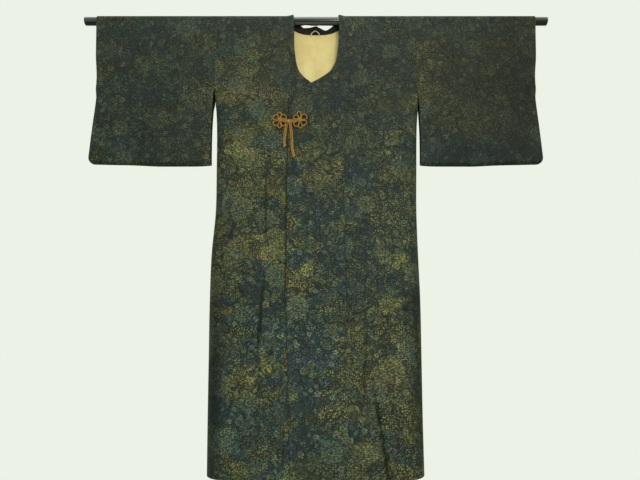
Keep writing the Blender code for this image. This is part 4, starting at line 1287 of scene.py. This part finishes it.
def stitch_tree():
    """Set short stitches along a path, each turned the way the path runs."""
    tree, node, given = new_tree(
        "Stitches",
        ("Spacing", "Float", 0.0075),
        ("Length", "Float", 0.0016),
        ("Thickness", "Float", 0.0005),
    )
    places = node("CurveToPoints", Curve=given["Path"], Length=given["Spacing"], mode="LENGTH")
    thread = node("MeshUVSphere", Segments=8, Rings=6, Radius=0.5)
    size = node("CombineXYZ", given["Thickness"], given["Thickness"], given["Length"])
    turned = places.outputs["Rotation"]
    sewn = node("InstanceOnPoints", Points=places, Instance=thread, Rotation=turned, Scale=size)
    finish_tree(node, sewn, given)
    return tree


def along_paths(name, tree, paths, values, closed=False, scale=1.0):
    """Run a tree along paths and keep its result as a plain mesh."""
    curve = bpy.data.curves.new(name + "_path", "CURVE")
    curve.dimensions = "3D"
    for path in paths:
        line = curve.splines.new("POLY")
        line.points.add(len(path) - 1)
        line.use_cyclic_u = closed
        for point, place in zip(line.points, path):
            point.co = (*place, 1.0)
            point.radius = scale
    guide = bpy.data.objects.new(name + "_path", curve)
    bpy.context.scene.collection.objects.link(guide)
    laying = guide.modifiers.new("laying", "NODES")
    laying.node_group = tree
    for socket in tree.interface.items_tree:
        if socket.in_out == "INPUT" and socket.name in values:
            laying[socket.identifier] = values[socket.name]
    seen = guide.evaluated_get(bpy.context.evaluated_depsgraph_get())
    mesh = bpy.data.meshes.new_from_object(seen)
    mesh.name = name
    bpy.data.objects.remove(guide)
    bpy.data.curves.remove(curve)
    return mesh


def laid_cord(name, paths, radius, finish_name, closed=False, scale=1.0, **changes):
    """Cord of twisted strands along paths."""
    make = bpy.context.scene.coat_cord
    values = {"Radius": radius, "Strands": make.strands, "Groove": make.groove, "Turns per metre": make.turns}
    values["Finish"] = finish(finish_name)
    values.update(changes)
    tree = bpy.data.node_groups.get("Laid cord") or cord_tree()
    return along_paths(name, tree, paths, values, closed, scale)


def joined(name, *meshes):
    """Meshes as one object, with the materials that they have."""
    finishes = []
    skin = bmesh.new()
    for mesh in meshes:
        places = []
        for made_finish in mesh.materials:
            if made_finish not in finishes:
                finishes.append(made_finish)
            places.append(finishes.index(made_finish))
        start = len(skin.faces)
        skin.from_mesh(mesh)
        skin.faces.ensure_lookup_table()
        for face in skin.faces[start:]:
            face.material_index = places[face.material_index]
    whole = plain_mesh(name, skin)
    for mesh in meshes:
        bpy.data.meshes.remove(mesh)
    return add_object(name, whole, *finishes)


# The silk's pattern, from its small flowers to its large blooms
Motif = namedtuple("Motif", "spacing scatter reach petals cut share lines cover tints")
MOTIFS = (
    Motif(0.019, 0.90, 0.0078, 5, 0.35, 0.38, "small", 0.85, ("#5c6547", "#74794a", "#4d625b")),
    Motif(0.060, 0.90, 0.0300, 3, 0.92, 0.60, "leaf", 0.80, ("#64715a", "#2c362f", "#747844", "#526a63")),
    Motif(0.048, 0.90, 0.0105, 5, 0.28, 0.42, "small", 0.90, ("#8a8a50", "#6d7a60", "#837243")),
    Motif(0.104, 0.95, 0.0370, 14, 0.14, 0.46, "bloom", 0.70, ("#76825f", "#5c746d", "#86864f")),
)
# From the heart of a motif (0) to its rim (1): how light the figure is, and how far it covers the ground
LINE = "place pale cover"
MOTIF_LINES = {
    "small": table(
        LINE,
        (0.00, 0.90, 0.9), (0.16, 0.20, 0.9), (0.34, 0.75, 0.9), (0.80, 0.85, 0.9), (0.95, 0.00, 0.9),
        (1.00, 0.00, 0.0),
    ),
    "leaf": table(
        LINE,
        (0.00, 0.10, 0.8), (0.30, 0.35, 0.6), (0.72, 0.45, 0.6), (0.84, 0.85, 0.9), (0.93, 0.00, 0.9),
        (1.00, 0.00, 0.0),
    ),
    "bloom": table(
        LINE,
        (0.00, 0.20, 0.8), (0.16, 0.10, 0.8), (0.22, 0.85, 0.9), (0.30, 0.80, 0.9), (0.36, 0.05, 0.8),
        (0.46, 0.60, 0.7), (0.86, 0.75, 0.7), (0.95, 0.00, 0.8), (1.00, 0.00, 0.0),
    ),
}
MOTIF_GROUND = "#151b16"
# How the patches, the flecks, the crepe and the lacquer's waves are stretched across and along
PATCH_STRETCH = (0.62, 1.12, 1.0)
FLECK_STRETCH = (0.55, 1.25, 1.0)
CREPE_STRETCH = (1.0, 0.45, 1.0)
LACQUER_STRETCH = (0.15, 1.0, 1.0)
# Tints from cool to warm
GROUND_TINTS = {
    0.00: "#1e2327", 0.12: "#142221", 0.30: "#1a2622", 0.48: "#1d231b", 0.66: "#22261a", 0.84: "#2d2f19",
    1.00: "#29231f",
}
FIGURE_TINTS = {
    0.00: "#56646b", 0.12: "#4b6966", 0.32: "#566b59", 0.55: "#697450", 0.80: "#7c824a", 0.92: "#7f7a46",
    1.00: "#726650",
}
STEM_LINES = table("level half_width tint", (0.470, 0.017, "#111612"), (0.565, 0.014, "#131813"))
PATCH_RINGS = 44.0


def motif_layer(node, flat, motif, ground, light, broken, shown):
    """Lay one kind of flower or leaf over the ground, each turned its own way in a cell of its own."""
    cells = node(
        "TexVoronoi", Vector=flat, Scale=1.0 / motif.spacing, Randomness=motif.scatter,
        voronoi_dimensions="2D")
    chance = node("SeparateColor", cells.outputs["Color"])
    offset = node("VectorMath", flat, cells.outputs["Position"], operation="SUBTRACT")
    away = node("VectorMath", offset, operation="LENGTH")
    axes = node("SeparateXYZ", offset)
    angle = node("Math", axes.outputs[1], axes, operation="ARCTAN2")
    turned = node("Math", chance.outputs[1], 2.0 * math.pi, operation="MULTIPLY")
    phase = node("Math", angle, motif.petals / 2.0, turned, operation="MULTIPLY_ADD")
    lobe = node("Math", node("Math", phase, operation="COSINE"), operation="ABSOLUTE")
    size = node("MapRange", chance, 0.0, 1.0, motif.reach * 0.66, motif.reach)
    rim = node("Math", lobe, motif.cut, 1.0 - motif.cut, operation="MULTIPLY_ADD")
    near = node("Math", away, node("Math", rim, size, operation="MULTIPLY"), operation="DIVIDE")
    stops = {line.place: (line.pale, line.pale, line.pale, line.cover) for line in MOTIF_LINES[motif.lines]}
    lines = node("ValToRGB", near, stops=stops)
    parted = node("MapRange", lobe, 0.10, 0.50, 0.10, 1.0)
    veined = node("MapRange", lobe, 0.985, 0.997, 1.0, 0.55)
    figure = lines
    for factor in (parted, veined, broken):
        figure = node("Math", figure, factor, operation="MULTIPLY")
    cover = node("Math", chance.outputs[2], motif.share, operation="LESS_THAN")
    for factor in (motif.cover, shown, lines.outputs["Alpha"]):
        cover = node("Math", cover, factor, operation="MULTIPLY")
    tints = {index / (len(motif.tints) - 1): tint for index, tint in enumerate(motif.tints)}
    tint = node("Mix", 0.55, node("ValToRGB", chance, stops=tints), light, data_type="RGBA")
    shaded = node("Mix", figure, linear(MOTIF_GROUND), tint, data_type="RGBA")
    return node("Mix", cover, ground, shaded, data_type="RGBA")


def ground_layer(node, flat, dye):
    """Cloud-shaped patches, each with its own tint and small filling: dots, rings, lozenges or scrolls."""
    drift = node("TexNoise", Vector=flat, Scale=1.0 / SILK_DRIFT, Detail=2.0, noise_dimensions="2D")
    centred = node("VectorMath", drift.outputs["Color"], (0.5, 0.5, 0.5), operation="SUBTRACT")
    swing = node("VectorMath", centred, 0.050, operation="SCALE")
    warped = node("VectorMath", flat, swing, operation="ADD")
    wide = node("VectorMath", warped, PATCH_STRETCH, operation="MULTIPLY")
    patches = node(
        "TexVoronoi", Vector=wide, Scale=1.0 / SILK_PATCH, Smoothness=0.30, Randomness=1.0,
        voronoi_dimensions="2D", feature="SMOOTH_F1")
    chance = node("SeparateColor", patches.outputs["Color"])
    chips = node("TexVoronoi", Vector=warped, Scale=1.0 / SILK_CHIP, voronoi_dimensions="2D")
    varied = node("SeparateColor", chips.outputs["Color"])
    spread = node("Math", chance, 0.62, -0.44, operation="MULTIPLY_ADD")
    spread = node("Math", varied, 0.38, spread, operation="MULTIPLY_ADD")
    lively = node("MapRange", dye.outputs[2], 0.10, 0.80, 0.30, 1.0)
    hue = node("Math", spread, lively, dye, operation="MULTIPLY_ADD")
    tint = node("ValToRGB", hue, stops=GROUND_TINTS)
    light = node("ValToRGB", hue, stops=FIGURE_TINTS)

    dots = node("TexVoronoi", Vector=flat, Scale=1.0 / SILK_DOT, Randomness=0.80, voronoi_dimensions="2D")
    worn = node("SeparateColor", dots.outputs["Color"])
    worn = node("MapRange", worn, 0.0, 1.0, 0.30, 1.15, clamp=False)
    dotted = node("Math", node("MapRange", dots, 0.20, 0.42, 1.0, 0.0), worn, operation="MULTIPLY")
    rings = node("Math", patches, PATCH_RINGS, operation="MULTIPLY")
    ringed = node("MapRange", node("Math", rings, operation="SINE"), -0.2, 1.0, 0.0, 0.8)
    ringed = node("Math", ringed, worn, operation="MULTIPLY")
    lozenges = node(
        "TexVoronoi", Vector=flat, Scale=1.0 / SILK_LOZENGE, Randomness=0.80,
        voronoi_dimensions="2D", distance="MANHATTAN")
    netted = node("MapRange", lozenges, 0.34, 0.66, 0.0, 0.9)
    scrolls = node(
        "TexNoise", Vector=flat, Scale=1.0 / SILK_SCROLL, Detail=1.0, Distortion=1.6, noise_dimensions="2D")
    curl = node("Math", node("Math", scrolls, 0.5, operation="SUBTRACT"), operation="ABSOLUTE")
    scrolled = node("MapRange", curl, 0.01, 0.07, 1.0, 0.0)
    filling = dotted
    for limit, other in ((0.46, scrolled), (0.66, ringed), (0.86, netted)):
        picked = node("Math", chance.outputs[1], limit, operation="GREATER_THAN")
        filling = node("Mix", picked, filling, other, data_type="FLOAT")

    strength = node("Math", chance.outputs[2], 0.45, 0.55, operation="MULTIPLY_ADD")
    warm_figures = node("MapRange", hue, 0.15, 0.75, 0.45, 1.0)
    clear_figures = node("MapRange", dye.outputs[2], 0.0, 1.0, 0.40, 1.45)
    bright_chips = node("MapRange", varied.outputs[1], 0.0, 1.0, 0.50, 1.30)
    for factor in (warm_figures, clear_figures, filling, bright_chips):
        strength = node("Math", strength, factor, operation="MULTIPLY")
    return node("Mix", strength, tint, light, data_type="RGBA"), light, filling


def vine_layer(node, flat, ground):
    """Long curling dark stems."""
    stems = node(
        "TexNoise", Vector=flat, Scale=1.0 / SILK_STEM, Detail=1.0, Distortion=0.3, noise_dimensions="2D")
    for stem in STEM_LINES:
        beside = node("Math", stems, stem.level, operation="SUBTRACT")
        beside = node("Math", beside, operation="ABSOLUTE")
        line = node("MapRange", beside, stem.half_width * 0.4, stem.half_width, 0.72, 0.0)
        ground = node("Mix", line, ground, linear(stem.tint), data_type="RGBA")
    return ground


def crepe_threads(node, flat):
    """Crepe threads, drawn a little coarser than real ones so that they show."""
    drawn = node("VectorMath", flat, CREPE_STRETCH, operation="MULTIPLY")
    return node("TexNoise", Vector=drawn, Scale=1.0 / SILK_THREAD, Detail=2.0, noise_dimensions="2D")


# Finishes: each gives its shader's inputs
def figured_silk(node):
    """Silk crepe, woven with figured threads and dyed dark: soft light, a faint sheen and no gloss."""
    flat = node("UVMap", uv_map="cut")
    dye = node("SeparateColor", node("Attribute", attribute_name="dye"))
    stretched = node("VectorMath", flat, FLECK_STRETCH, operation="MULTIPLY")
    flecks = node("TexNoise", Vector=stretched, Scale=1.0 / SILK_FLECK, Detail=1.0, noise_dimensions="2D")
    broken = node("MapRange", flecks, 0.34, 0.66, 0.30, 1.45)
    shown = node("MapRange", dye.outputs[2], 0.0, 1.0, 0.35, 1.10)
    colour, light, filling = ground_layer(node, flat, dye)
    for index, motif in enumerate(MOTIFS):
        colour = motif_layer(node, flat, motif, colour, light, broken, shown)
        if index == 0:
            colour = vine_layer(node, flat, colour)
    crepe = crepe_threads(node, flat)
    shade = node("MapRange", crepe, 0.30, 0.70, 0.66, 1.34)
    uneven = node("MapRange", flecks, 0.30, 0.70, 0.72, 1.28)
    # The dye attribute's lightness scales the colour: paler and darker dye patches, and painted shade
    dye_tone_and_painted_shade = node("MapRange", dye.outputs[1], 0.0, 1.0, 0.60, 1.40, clamp=False)
    for factor in (uneven, dye_tone_and_painted_shade):
        shade = node("Math", shade, factor, operation="MULTIPLY")
    height = node("Math", filling, 0.35, crepe, operation="MULTIPLY_ADD")
    return dict(
        Base_Color=node("VectorMath", colour, shade, operation="SCALE"),
        Roughness=node("MapRange", crepe, 0.3, 0.7, 0.58, 0.74),
        Normal=node("Bump", Strength=0.8, Distance=0.0006, Height=height),
        Specular_IOR_Level=0.22, Sheen_Weight=0.12, Sheen_Roughness=0.45, Sheen_Tint=linear("#9aa07c"))


def silk_wrong_side(node):
    """The same crepe from its wrong side: the figures sink into a dull dark ground."""
    flat = node("UVMap", uv_map="cut")
    clouds = node("TexNoise", Vector=flat, Scale=1.0 / WRONG_SIDE_CLOUD, Detail=3.0, noise_dimensions="2D")
    crepe = crepe_threads(node, flat)
    both = node("Mix", 0.35, clouds, crepe, data_type="FLOAT")
    return dict(
        Base_Color=node("ValToRGB", both, stops={0.3: "#14170f", 0.6: "#23271c", 0.8: "#2f3327"}),
        Normal=node("Bump", Strength=0.4, Distance=0.0003, Height=crepe),
        Roughness=0.78, Specular_IOR_Level=0.18, Sheen_Weight=0.05, Sheen_Roughness=0.5)


def lining_silk(node):
    """Plain-woven cream silk, a little creased: smoother than the crepe, with a soft gloss."""
    colours = bpy.context.scene.coat_colours
    flat = node("UVMap", uv_map="cut")
    clouds = node("TexNoise", Vector=flat, Scale=1.0 / LINING_CLOUD, Detail=2.0, noise_dimensions="2D")
    threads = node("VectorMath", flat, 2.0 * math.pi / LINING_THREAD, operation="SCALE")
    parts = node("SeparateXYZ", node("VectorMath", threads, operation="SINE"))
    crossed = node("Math", parts, parts.outputs[1], operation="MULTIPLY")
    return dict(
        Base_Color=node("ValToRGB", clouds, stops={0.30: colours.lining_shade, 0.70: colours.lining}),
        Normal=node("Bump", Strength=0.25, Distance=0.0002, Height=crossed),
        Roughness=0.48, Specular_IOR_Level=0.40, Sheen_Weight=0.10, Sheen_Roughness=0.35)


def laid_silk(pale_name, groove_shade_name, roughness, node):
    """Laid silk cord: bright on the strands, with painted shade darkening the grooves between them."""
    pale = getattr(bpy.context.scene.coat_colours, pale_name)
    deep = getattr(bpy.context.scene.coat_colours, groove_shade_name)
    between = [mix(start, end, 0.4) for start, end in zip(pale, deep)]
    groove = node("Attribute", attribute_name="groove").outputs["Fac"]
    along = node("Attribute", attribute_name="along").outputs["Fac"]
    fibres = node("TexNoise", Vector=node("TexCoord").outputs["Object"], Scale=1.0 / CORD_FIBRE, Detail=2.0)
    # Painted shade: the grooves between the strands are coloured darker
    groove_shade_mask = node("MapRange", groove, 0.20, 0.88, 0.0, 0.95)
    fibres_and_groove_shade = node("Math", fibres, 0.5, groove_shade_mask, operation="MULTIPLY_ADD")
    threads = node("Math", along, 2.0 * math.pi / CORD_PLAIT, operation="MULTIPLY")
    height = node("Math", node("Math", threads, operation="SINE"), 0.2, fibres, operation="MULTIPLY_ADD")
    return dict(
        Base_Color=node("ValToRGB", fibres_and_groove_shade, stops={0.10: pale, 0.55: between, 1.00: deep}),
        Normal=node("Bump", Strength=0.5, Distance=0.0002, Height=height),
        Roughness=roughness, Specular_IOR_Level=0.35, Sheen_Weight=0.06, Sheen_Roughness=0.3)


def rod_lacquer(node):
    """Black lacquer, rubbed to a deep polish: a hard clear skin with the faintest waviness, on a base colour
    painted grey-green as a reflection of the pale room.
    """
    stretched = node("Mapping", Vector=node("TexCoord").outputs["Object"], Scale=LACQUER_STRETCH)
    waves = node("TexNoise", Vector=stretched, Scale=1.0 / LACQUER_WAVE, Detail=2.0)
    return dict(
        # Painted reflection: the base colour is grey-green rather than black
        Base_Color=bpy.context.scene.coat_colours.lacquer,
        Roughness=node("MapRange", waves, 0.3, 0.7, 0.16, 0.26),
        Normal=node("Bump", Strength=0.08, Distance=0.0004, Height=waves),
        IOR=1.53, Coat_Weight=1.0, Coat_Roughness=0.16)


def floor_paint(node):
    """Pale matt floor."""
    clouds = node("TexNoise", Vector=node("TexCoord").outputs["Object"], Scale=1.0 / FLOOR_CLOUD, Detail=2.0)
    return dict(Base_Color=node("ValToRGB", clouds, stops={0.3: "#d9dcd2", 0.7: "#e2e5dc"}), Roughness=0.85)


FINISHES = {
    "figured_silk_crepe": figured_silk,
    "silk_crepe_wrong_side": silk_wrong_side,
    "cream_lining_silk": lining_silk,
    "rubbed_lacquer": rod_lacquer,
    "pale_floor": floor_paint,
    # The second colour of each cord finish is painted shade in its grooves
    "golden_silk_cord": partial(laid_silk, "cord", "cord_deep", 0.42),
    "cream_cord": partial(laid_silk, "loop", "loop_deep", 0.55),
    "pale_thread": partial(laid_silk, "thread", "loop_deep", 0.50),
}


def finish(name):
    """The material of a finish, made when it is first asked for."""
    made = bpy.data.materials.get(name)
    if made is None:
        made = bpy.data.materials.new(name)
        made.use_nodes = True
        made.node_tree.nodes.clear()
        node = partial(add, made.node_tree)
        node("OutputMaterial", Surface=node("BsdfPrincipled", **FINISHES[name](node)))
    return made


# Settings
def number_setting(name, default, description, **kind):
    return bpy.props.FloatProperty(name=name, description=description, default=default, **kind)


def colour_setting(name, default, description):
    return bpy.props.FloatVectorProperty(
        name=name, description=description, default=linear(default), size=4, subtype="COLOR")


length_setting = partial(number_setting, unit="LENGTH", precision=4)
power_setting = partial(number_setting, unit="POWER")


class CoatCloth(bpy.types.PropertyGroup):
    """Sizes of the cloth."""

    edge_round: length_setting("Edge rounding", 0.0005, "How far the cloth's cut edges are rounded")
    ripple: length_setting("Ripple", 0.0011, "Height of the small unevenness of the hanging silk")
    seam_dip: length_setting("Seam dip", 0.0009, "How far a pressed seam pulls the cloth in")
    binding_crown: length_setting("Binding crown", 0.0007, "How far the binding swells between its edges")


class CoatCord(bpy.types.PropertyGroup):
    """Make of the silk cord."""

    strands: number_setting("Strands", 4.0, "Strands laid round the cord")
    groove: number_setting(
        "Groove", 0.22, "Depth of the grooves between strands, as a share of the radius", subtype="FACTOR")
    turns: number_setting("Turns per metre", 130.0, "How tightly the strands are laid")


class CoatColours(bpy.types.PropertyGroup):
    """Colours of the plain finishes."""

    lining: colour_setting("Lining", "#dccd8c", "Cream silk lining")
    lining_shade: colour_setting("Lining shade", "#cfbb74", "Deeper patches of the lining")
    cord: colour_setting("Cord", "#cb9c42", "Golden silk cord")
    # Painted shade in the golden cord's grooves
    cord_deep: colour_setting("Cord grooves", "#2e1603", "Grooves of the golden cord")
    loop: colour_setting("Loop", "#f0e8c4", "Cream hanging loop")
    # Painted shade in the cream loop's grooves
    loop_deep: colour_setting("Loop grooves", "#8c7a52", "Grooves of the cream loop")
    thread: colour_setting("Thread", "#cbb887", "Pale thread on the cord's ends")
    # Black lacquer lifted to grey-green as a painted reflection of the pale room
    lacquer: colour_setting("Lacquer", "#232a23", "Black lacquer of the rod")


class CoatStudio(bpy.types.PropertyGroup):
    """Light of the studio."""

    key: power_setting("Key light", 46.0, "Power of the large light in front")
    fill: power_setting("Fill light", 6.0, "Power of the softer light from the other side")
    back: power_setting("Back light", 50.0, "Power of the light behind the coat")
    ceiling: power_setting("Ceiling light", 12.0, "Power of the long light over the rod")
    sky: number_setting("Room light", 0.40, "Strength of the light from the pale room")
    room: colour_setting("Room", "#ecf2e6", "Colour of the pale room")


# Operators
class COAT_OT_stage(bpy.types.Operator):
    """Set up the camera, the lights, the pale room and the floor"""

    bl_idname = "coat.stage"
    bl_label = "Studio"

    def execute(self, context):
        studio = context.scene.coat_studio
        view = bpy.data.cameras.new("camera")
        view.lens = CAMERA_LENS
        view.sensor_width = CAMERA_SENSOR
        view.clip_start = CAMERA_CLIP
        camera = bpy.data.objects.new("camera", view)
        camera.location = CAMERA_PLACE
        camera.rotation_euler = (math.radians(CAMERA_PITCH), 0.0, 0.0)
        context.scene.collection.objects.link(camera)
        context.scene.camera = camera
        for row in LAMPS:
            lamp = bpy.data.lights.new(row.name, "AREA")
            lamp.shape = "RECTANGLE"
            lamp.size, lamp.size_y = row.size
            lamp.energy = getattr(studio, row.name)
            lamp.color = linear(row.tint)[:3]
            light = bpy.data.objects.new(row.name, lamp)
            light.location = row.place
            light.visible_camera = False
            light.rotation_euler = (LAMPS_AIM - Vector(row.place)).to_track_quat("-Z", "Y").to_euler()
            context.scene.collection.objects.link(light)
        self.pale_room(context, studio)
        floor = bmesh.new()
        bmesh.ops.create_cone(
            floor, cap_ends=True, segments=128, radius1=FLOOR_RADIUS, radius2=FLOOR_RADIUS,
            depth=FLOOR_THICKNESS)
        for corner in floor.verts:
            corner.co.z += FLOOR_Z - FLOOR_THICKNESS / 2.0
        add_object("floor", plain_mesh("floor", floor), finish("pale_floor"))
        return {"FINISHED"}

    def pale_room(self, context, studio):
        """The room looks as pale as its walls, and lights the coat more softly than it looks."""
        world = bpy.data.worlds.new("pale_room")
        world.use_nodes = True
        world.node_tree.nodes.clear()
        node = partial(add, world.node_tree)
        height = node("SeparateXYZ", node("TexCoord").outputs["Object"]).outputs[2]
        overhead = node("MapRange", height, -0.3, 0.9, studio.sky * 0.25, studio.sky * 2.7)
        seen = node("LightPath").outputs["Is Camera Ray"]
        strength = node("Mix", seen, overhead, 1.0, data_type="FLOAT")
        node("OutputWorld", Surface=node("Background", Color=studio.room, Strength=strength))
        context.scene.world = world
        context.scene.view_settings.view_transform = "Standard"


class COAT_OT_tails(bpy.types.Operator):
    """Lay the four free cord ends, with thread wound round their tips"""

    bl_idname = "coat.tails"
    bl_label = "Cord ends"

    def execute(self, context):
        for tail, (layer, points) in TAILS.items():
            for strand, sign, less in (("a", -1, 0.0), ("b", 1, SECOND_STRAND_LESS)):
                self.strand(f"{tail}_{strand}", tail_route(points, layer, sign, less))
        return {"FINISHED"}

    def strand(self, node, route):
        piece = joined(node + "_cord", laid_cord(node, [route], TAIL_RADIUS, "golden_silk_cord"))
        settle(piece, "silk_cord", node)
        fine = {"Groove": 0.0, "Sides": 6, "Step": 0.0004}
        wound = laid_cord(node + "_tip", [tip_path(route)], TIP_THREAD_RADIUS, "pale_thread", **fine)
        tip = settle(joined(node + "_tip", wound), "silk_cord")


class COAT_OT_rod(bpy.types.Operator):
    """Turn the lacquered rod, with softly broken edges at both ends"""

    bl_idname = "coat.rod"
    bl_label = "Rod"

    def execute(self, context):
        low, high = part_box("rod")
        profile = []
        for step in range(ROD_EDGE_STEPS + 1):
            turn = math.pi / 2.0 * step / ROD_EDGE_STEPS
            inset = ROD_EDGE_ROUND * (1.0 - math.sin(turn))
            profile.append((low.x + ROD_EDGE_ROUND * (1.0 - math.cos(turn)), (high.z - low.z) / 2.0 - inset))
        profile += [(-x, radius) for x, radius in reversed(profile)]
        bar = bmesh.new()
        turns = [2.0 * math.pi * side / ROD_SIDES for side in range(ROD_SIDES)]
        rings = []
        for x, radius in profile:
            ring = [(x, radius * math.cos(turn), radius * math.sin(turn)) for turn in turns]
            rings.append([bar.verts.new(place) for place in ring])
        for near, far in zip(rings, rings[1:]):
            for side in range(ROD_SIDES):
                after = (side + 1) % ROD_SIDES
                bar.faces.new((near[side], far[side], far[after], near[after]))
        bar.faces.new(rings[0])
        bar.faces.new(rings[-1])
        bmesh.ops.recalc_face_normals(bar, faces=bar.faces)
        mesh = plain_mesh("rod_lacquered", bar)
        mesh.shade_smooth()
        mesh.set_sharp_from_angle(angle=math.radians(ROD_SHARP_ANGLE))
        settle(add_object("rod_lacquered", mesh, finish("rubbed_lacquer")), "black_lacquer", "rod")
        return {"FINISHED"}


class COAT_OT_bodies(bpy.types.Operator):
    """Hang the two body lengths over the rod"""

    bl_idname = "coat.bodies"
    bl_label = "Body lengths"

    def execute(self, context):
        cloth_piece("left_body", body_grids(1), *SILK)
        cloth_piece("right_body", body_grids(-1), *SILK)
        return {"FINISHED"}


class COAT_OT_overlaps(bpy.types.Operator):
    """Hang the two front overlap panels"""

    bl_idname = "coat.overlaps"
    bl_label = "Overlap panels"

    def execute(self, context):
        cloth_piece("left_overlap", overlap_grids(1), *SILK)
        cloth_piece("right_overlap", overlap_grids(-1), *SILK)
        return {"FINISHED"}


class COAT_OT_binding(bpy.types.Operator):
    """Edge the neck with its bias binding"""

    bl_idname = "coat.binding"
    bl_label = "Neck binding"

    def execute(self, context):
        cloth_piece("neck_binding", binding_grids(), *SILK)
        return {"FINISHED"}


class COAT_OT_sleeves(bpy.types.Operator):
    """Fold the two sleeves over the rod"""

    bl_idname = "coat.sleeves"
    bl_label = "Sleeves"

    def execute(self, context):
        cloth_piece("left_sleeve", sleeve_grids(1), *SILK)
        cloth_piece("right_sleeve", sleeve_grids(-1), *SILK)
        return {"FINISHED"}


class COAT_OT_linings(bpy.types.Operator):
    """Line the back of the neck and sew the lining's top edge down"""

    bl_idname = "coat.linings"
    bl_label = "Lining"

    def execute(self, context):
        cloth_piece("left_lining", lining_grids(1), *LINING)
        cloth_piece("right_lining", lining_grids(-1), *LINING)
        tree = bpy.data.node_groups.get("Stitches") or stitch_tree()
        values = {"Finish": finish("pale_thread")}
        sewn = along_paths("lining_stitches", tree, [lining_stitch_path()], values)
        settle(joined("lining_stitches", sewn), "lining_silk")
        return {"FINISHED"}


class COAT_OT_hang_loop(bpy.types.Operator):
    """Sew on the small cream hanging loop"""

    bl_idname = "coat.hang_loop"
    bl_label = "Hanging loop"

    def execute(self, context):
        loop = laid_cord("hang_loop", [hang_loop_path()], HANG_LOOP_RADIUS, "cream_cord", Strands=3.0)
        settle(joined("hang_loop_cord", loop), "loop_cord", "hang_loop")
        return {"FINISHED"}


class COAT_OT_flowers(bpy.types.Operator):
    """Tie the two flower knots"""

    bl_idname = "coat.flowers"
    bl_label = "Flower knots"

    def execute(self, context):
        for node, flower in FLOWERS.items():
            petals = [petal_path(flower, petal) for petal in flower.petals]
            hearts = heart_paths(flower)
            loops = laid_cord(
                node + "_petals", petals, CORD_RADIUS, "golden_silk_cord",
                closed=True, scale=PETAL_CORD_SCALE)
            heart = laid_cord(
                node + "_heart", hearts, CORD_RADIUS, "golden_silk_cord", scale=HEART_CORD_SCALE)
            settle(joined(node + "_cord", loops, heart), "silk_cord", node)
        return {"FINISHED"}


class COAT_OT_clasp(bpy.types.Operator):
    """Tie the button knot that joins the flowers"""

    bl_idname = "coat.clasp"
    bl_label = "Clasp knot"

    def execute(self, context):
        button, cords = clasp_paths()
        woven = laid_cord("button", [button], BUTTON_CORD, "golden_silk_cord", closed=True)
        joining = laid_cord("joining", cords, CORD_RADIUS, "golden_silk_cord")
        ball = bmesh.new()
        bmesh.ops.create_uvsphere(ball, u_segments=24, v_segments=16, radius=BUTTON_RADIUS)
        centre = sum(button, Vector()) / len(button)
        for corner in ball.verts:
            corner.co.y *= BUTTON_FLATNESS
            corner.co += centre
        core = plain_mesh("core", ball)
        core.materials.append(finish("golden_silk_cord"))
        core.shade_smooth()
        settle(joined("clasp_knot_cord", woven, joining, core), "silk_cord", "clasp_knot")
        return {"FINISHED"}


class COAT_PT_panel(bpy.types.Panel):
    """Lists the coat's pieces and settings"""

    bl_idname = "COAT_PT_panel"
    bl_label = "Michiyuki coat"
    bl_space_type = "VIEW_3D"
    bl_region_type = "UI"
    bl_category = "Coat"

    def draw(self, context):
        for operator in OPERATORS:
            self.layout.operator(operator.bl_idname)
        for name in SETTINGS:
            settings = getattr(context.scene, name)
            for prop in settings.__annotations__:
                self.layout.prop(settings, prop)


SETTINGS = {
    "coat_cloth": CoatCloth,
    "coat_cord": CoatCord,
    "coat_colours": CoatColours,
    "coat_studio": CoatStudio,
}
OPERATORS = (
    COAT_OT_stage,
    COAT_OT_tails,
    COAT_OT_rod,
    COAT_OT_bodies,
    COAT_OT_overlaps,
    COAT_OT_binding,
    COAT_OT_sleeves,
    COAT_OT_linings,
    COAT_OT_hang_loop,
    COAT_OT_flowers,
    COAT_OT_clasp,
)
CLASSES = (*SETTINGS.values(), *OPERATORS, COAT_PT_panel)


def register():
    for cls in CLASSES:
        bpy.utils.register_class(cls)
    for name, cls in SETTINGS.items():
        setattr(bpy.types.Scene, name, bpy.props.PointerProperty(type=cls))


def unregister():
    for name in SETTINGS:
        delattr(bpy.types.Scene, name)
    for cls in reversed(CLASSES):
        bpy.utils.unregister_class(cls)


def main():
    register()
    for operator in OPERATORS:
        group, name = operator.bl_idname.split(".")
        getattr(getattr(bpy.ops, group), name)()


if __name__ == "__main__":
    main()
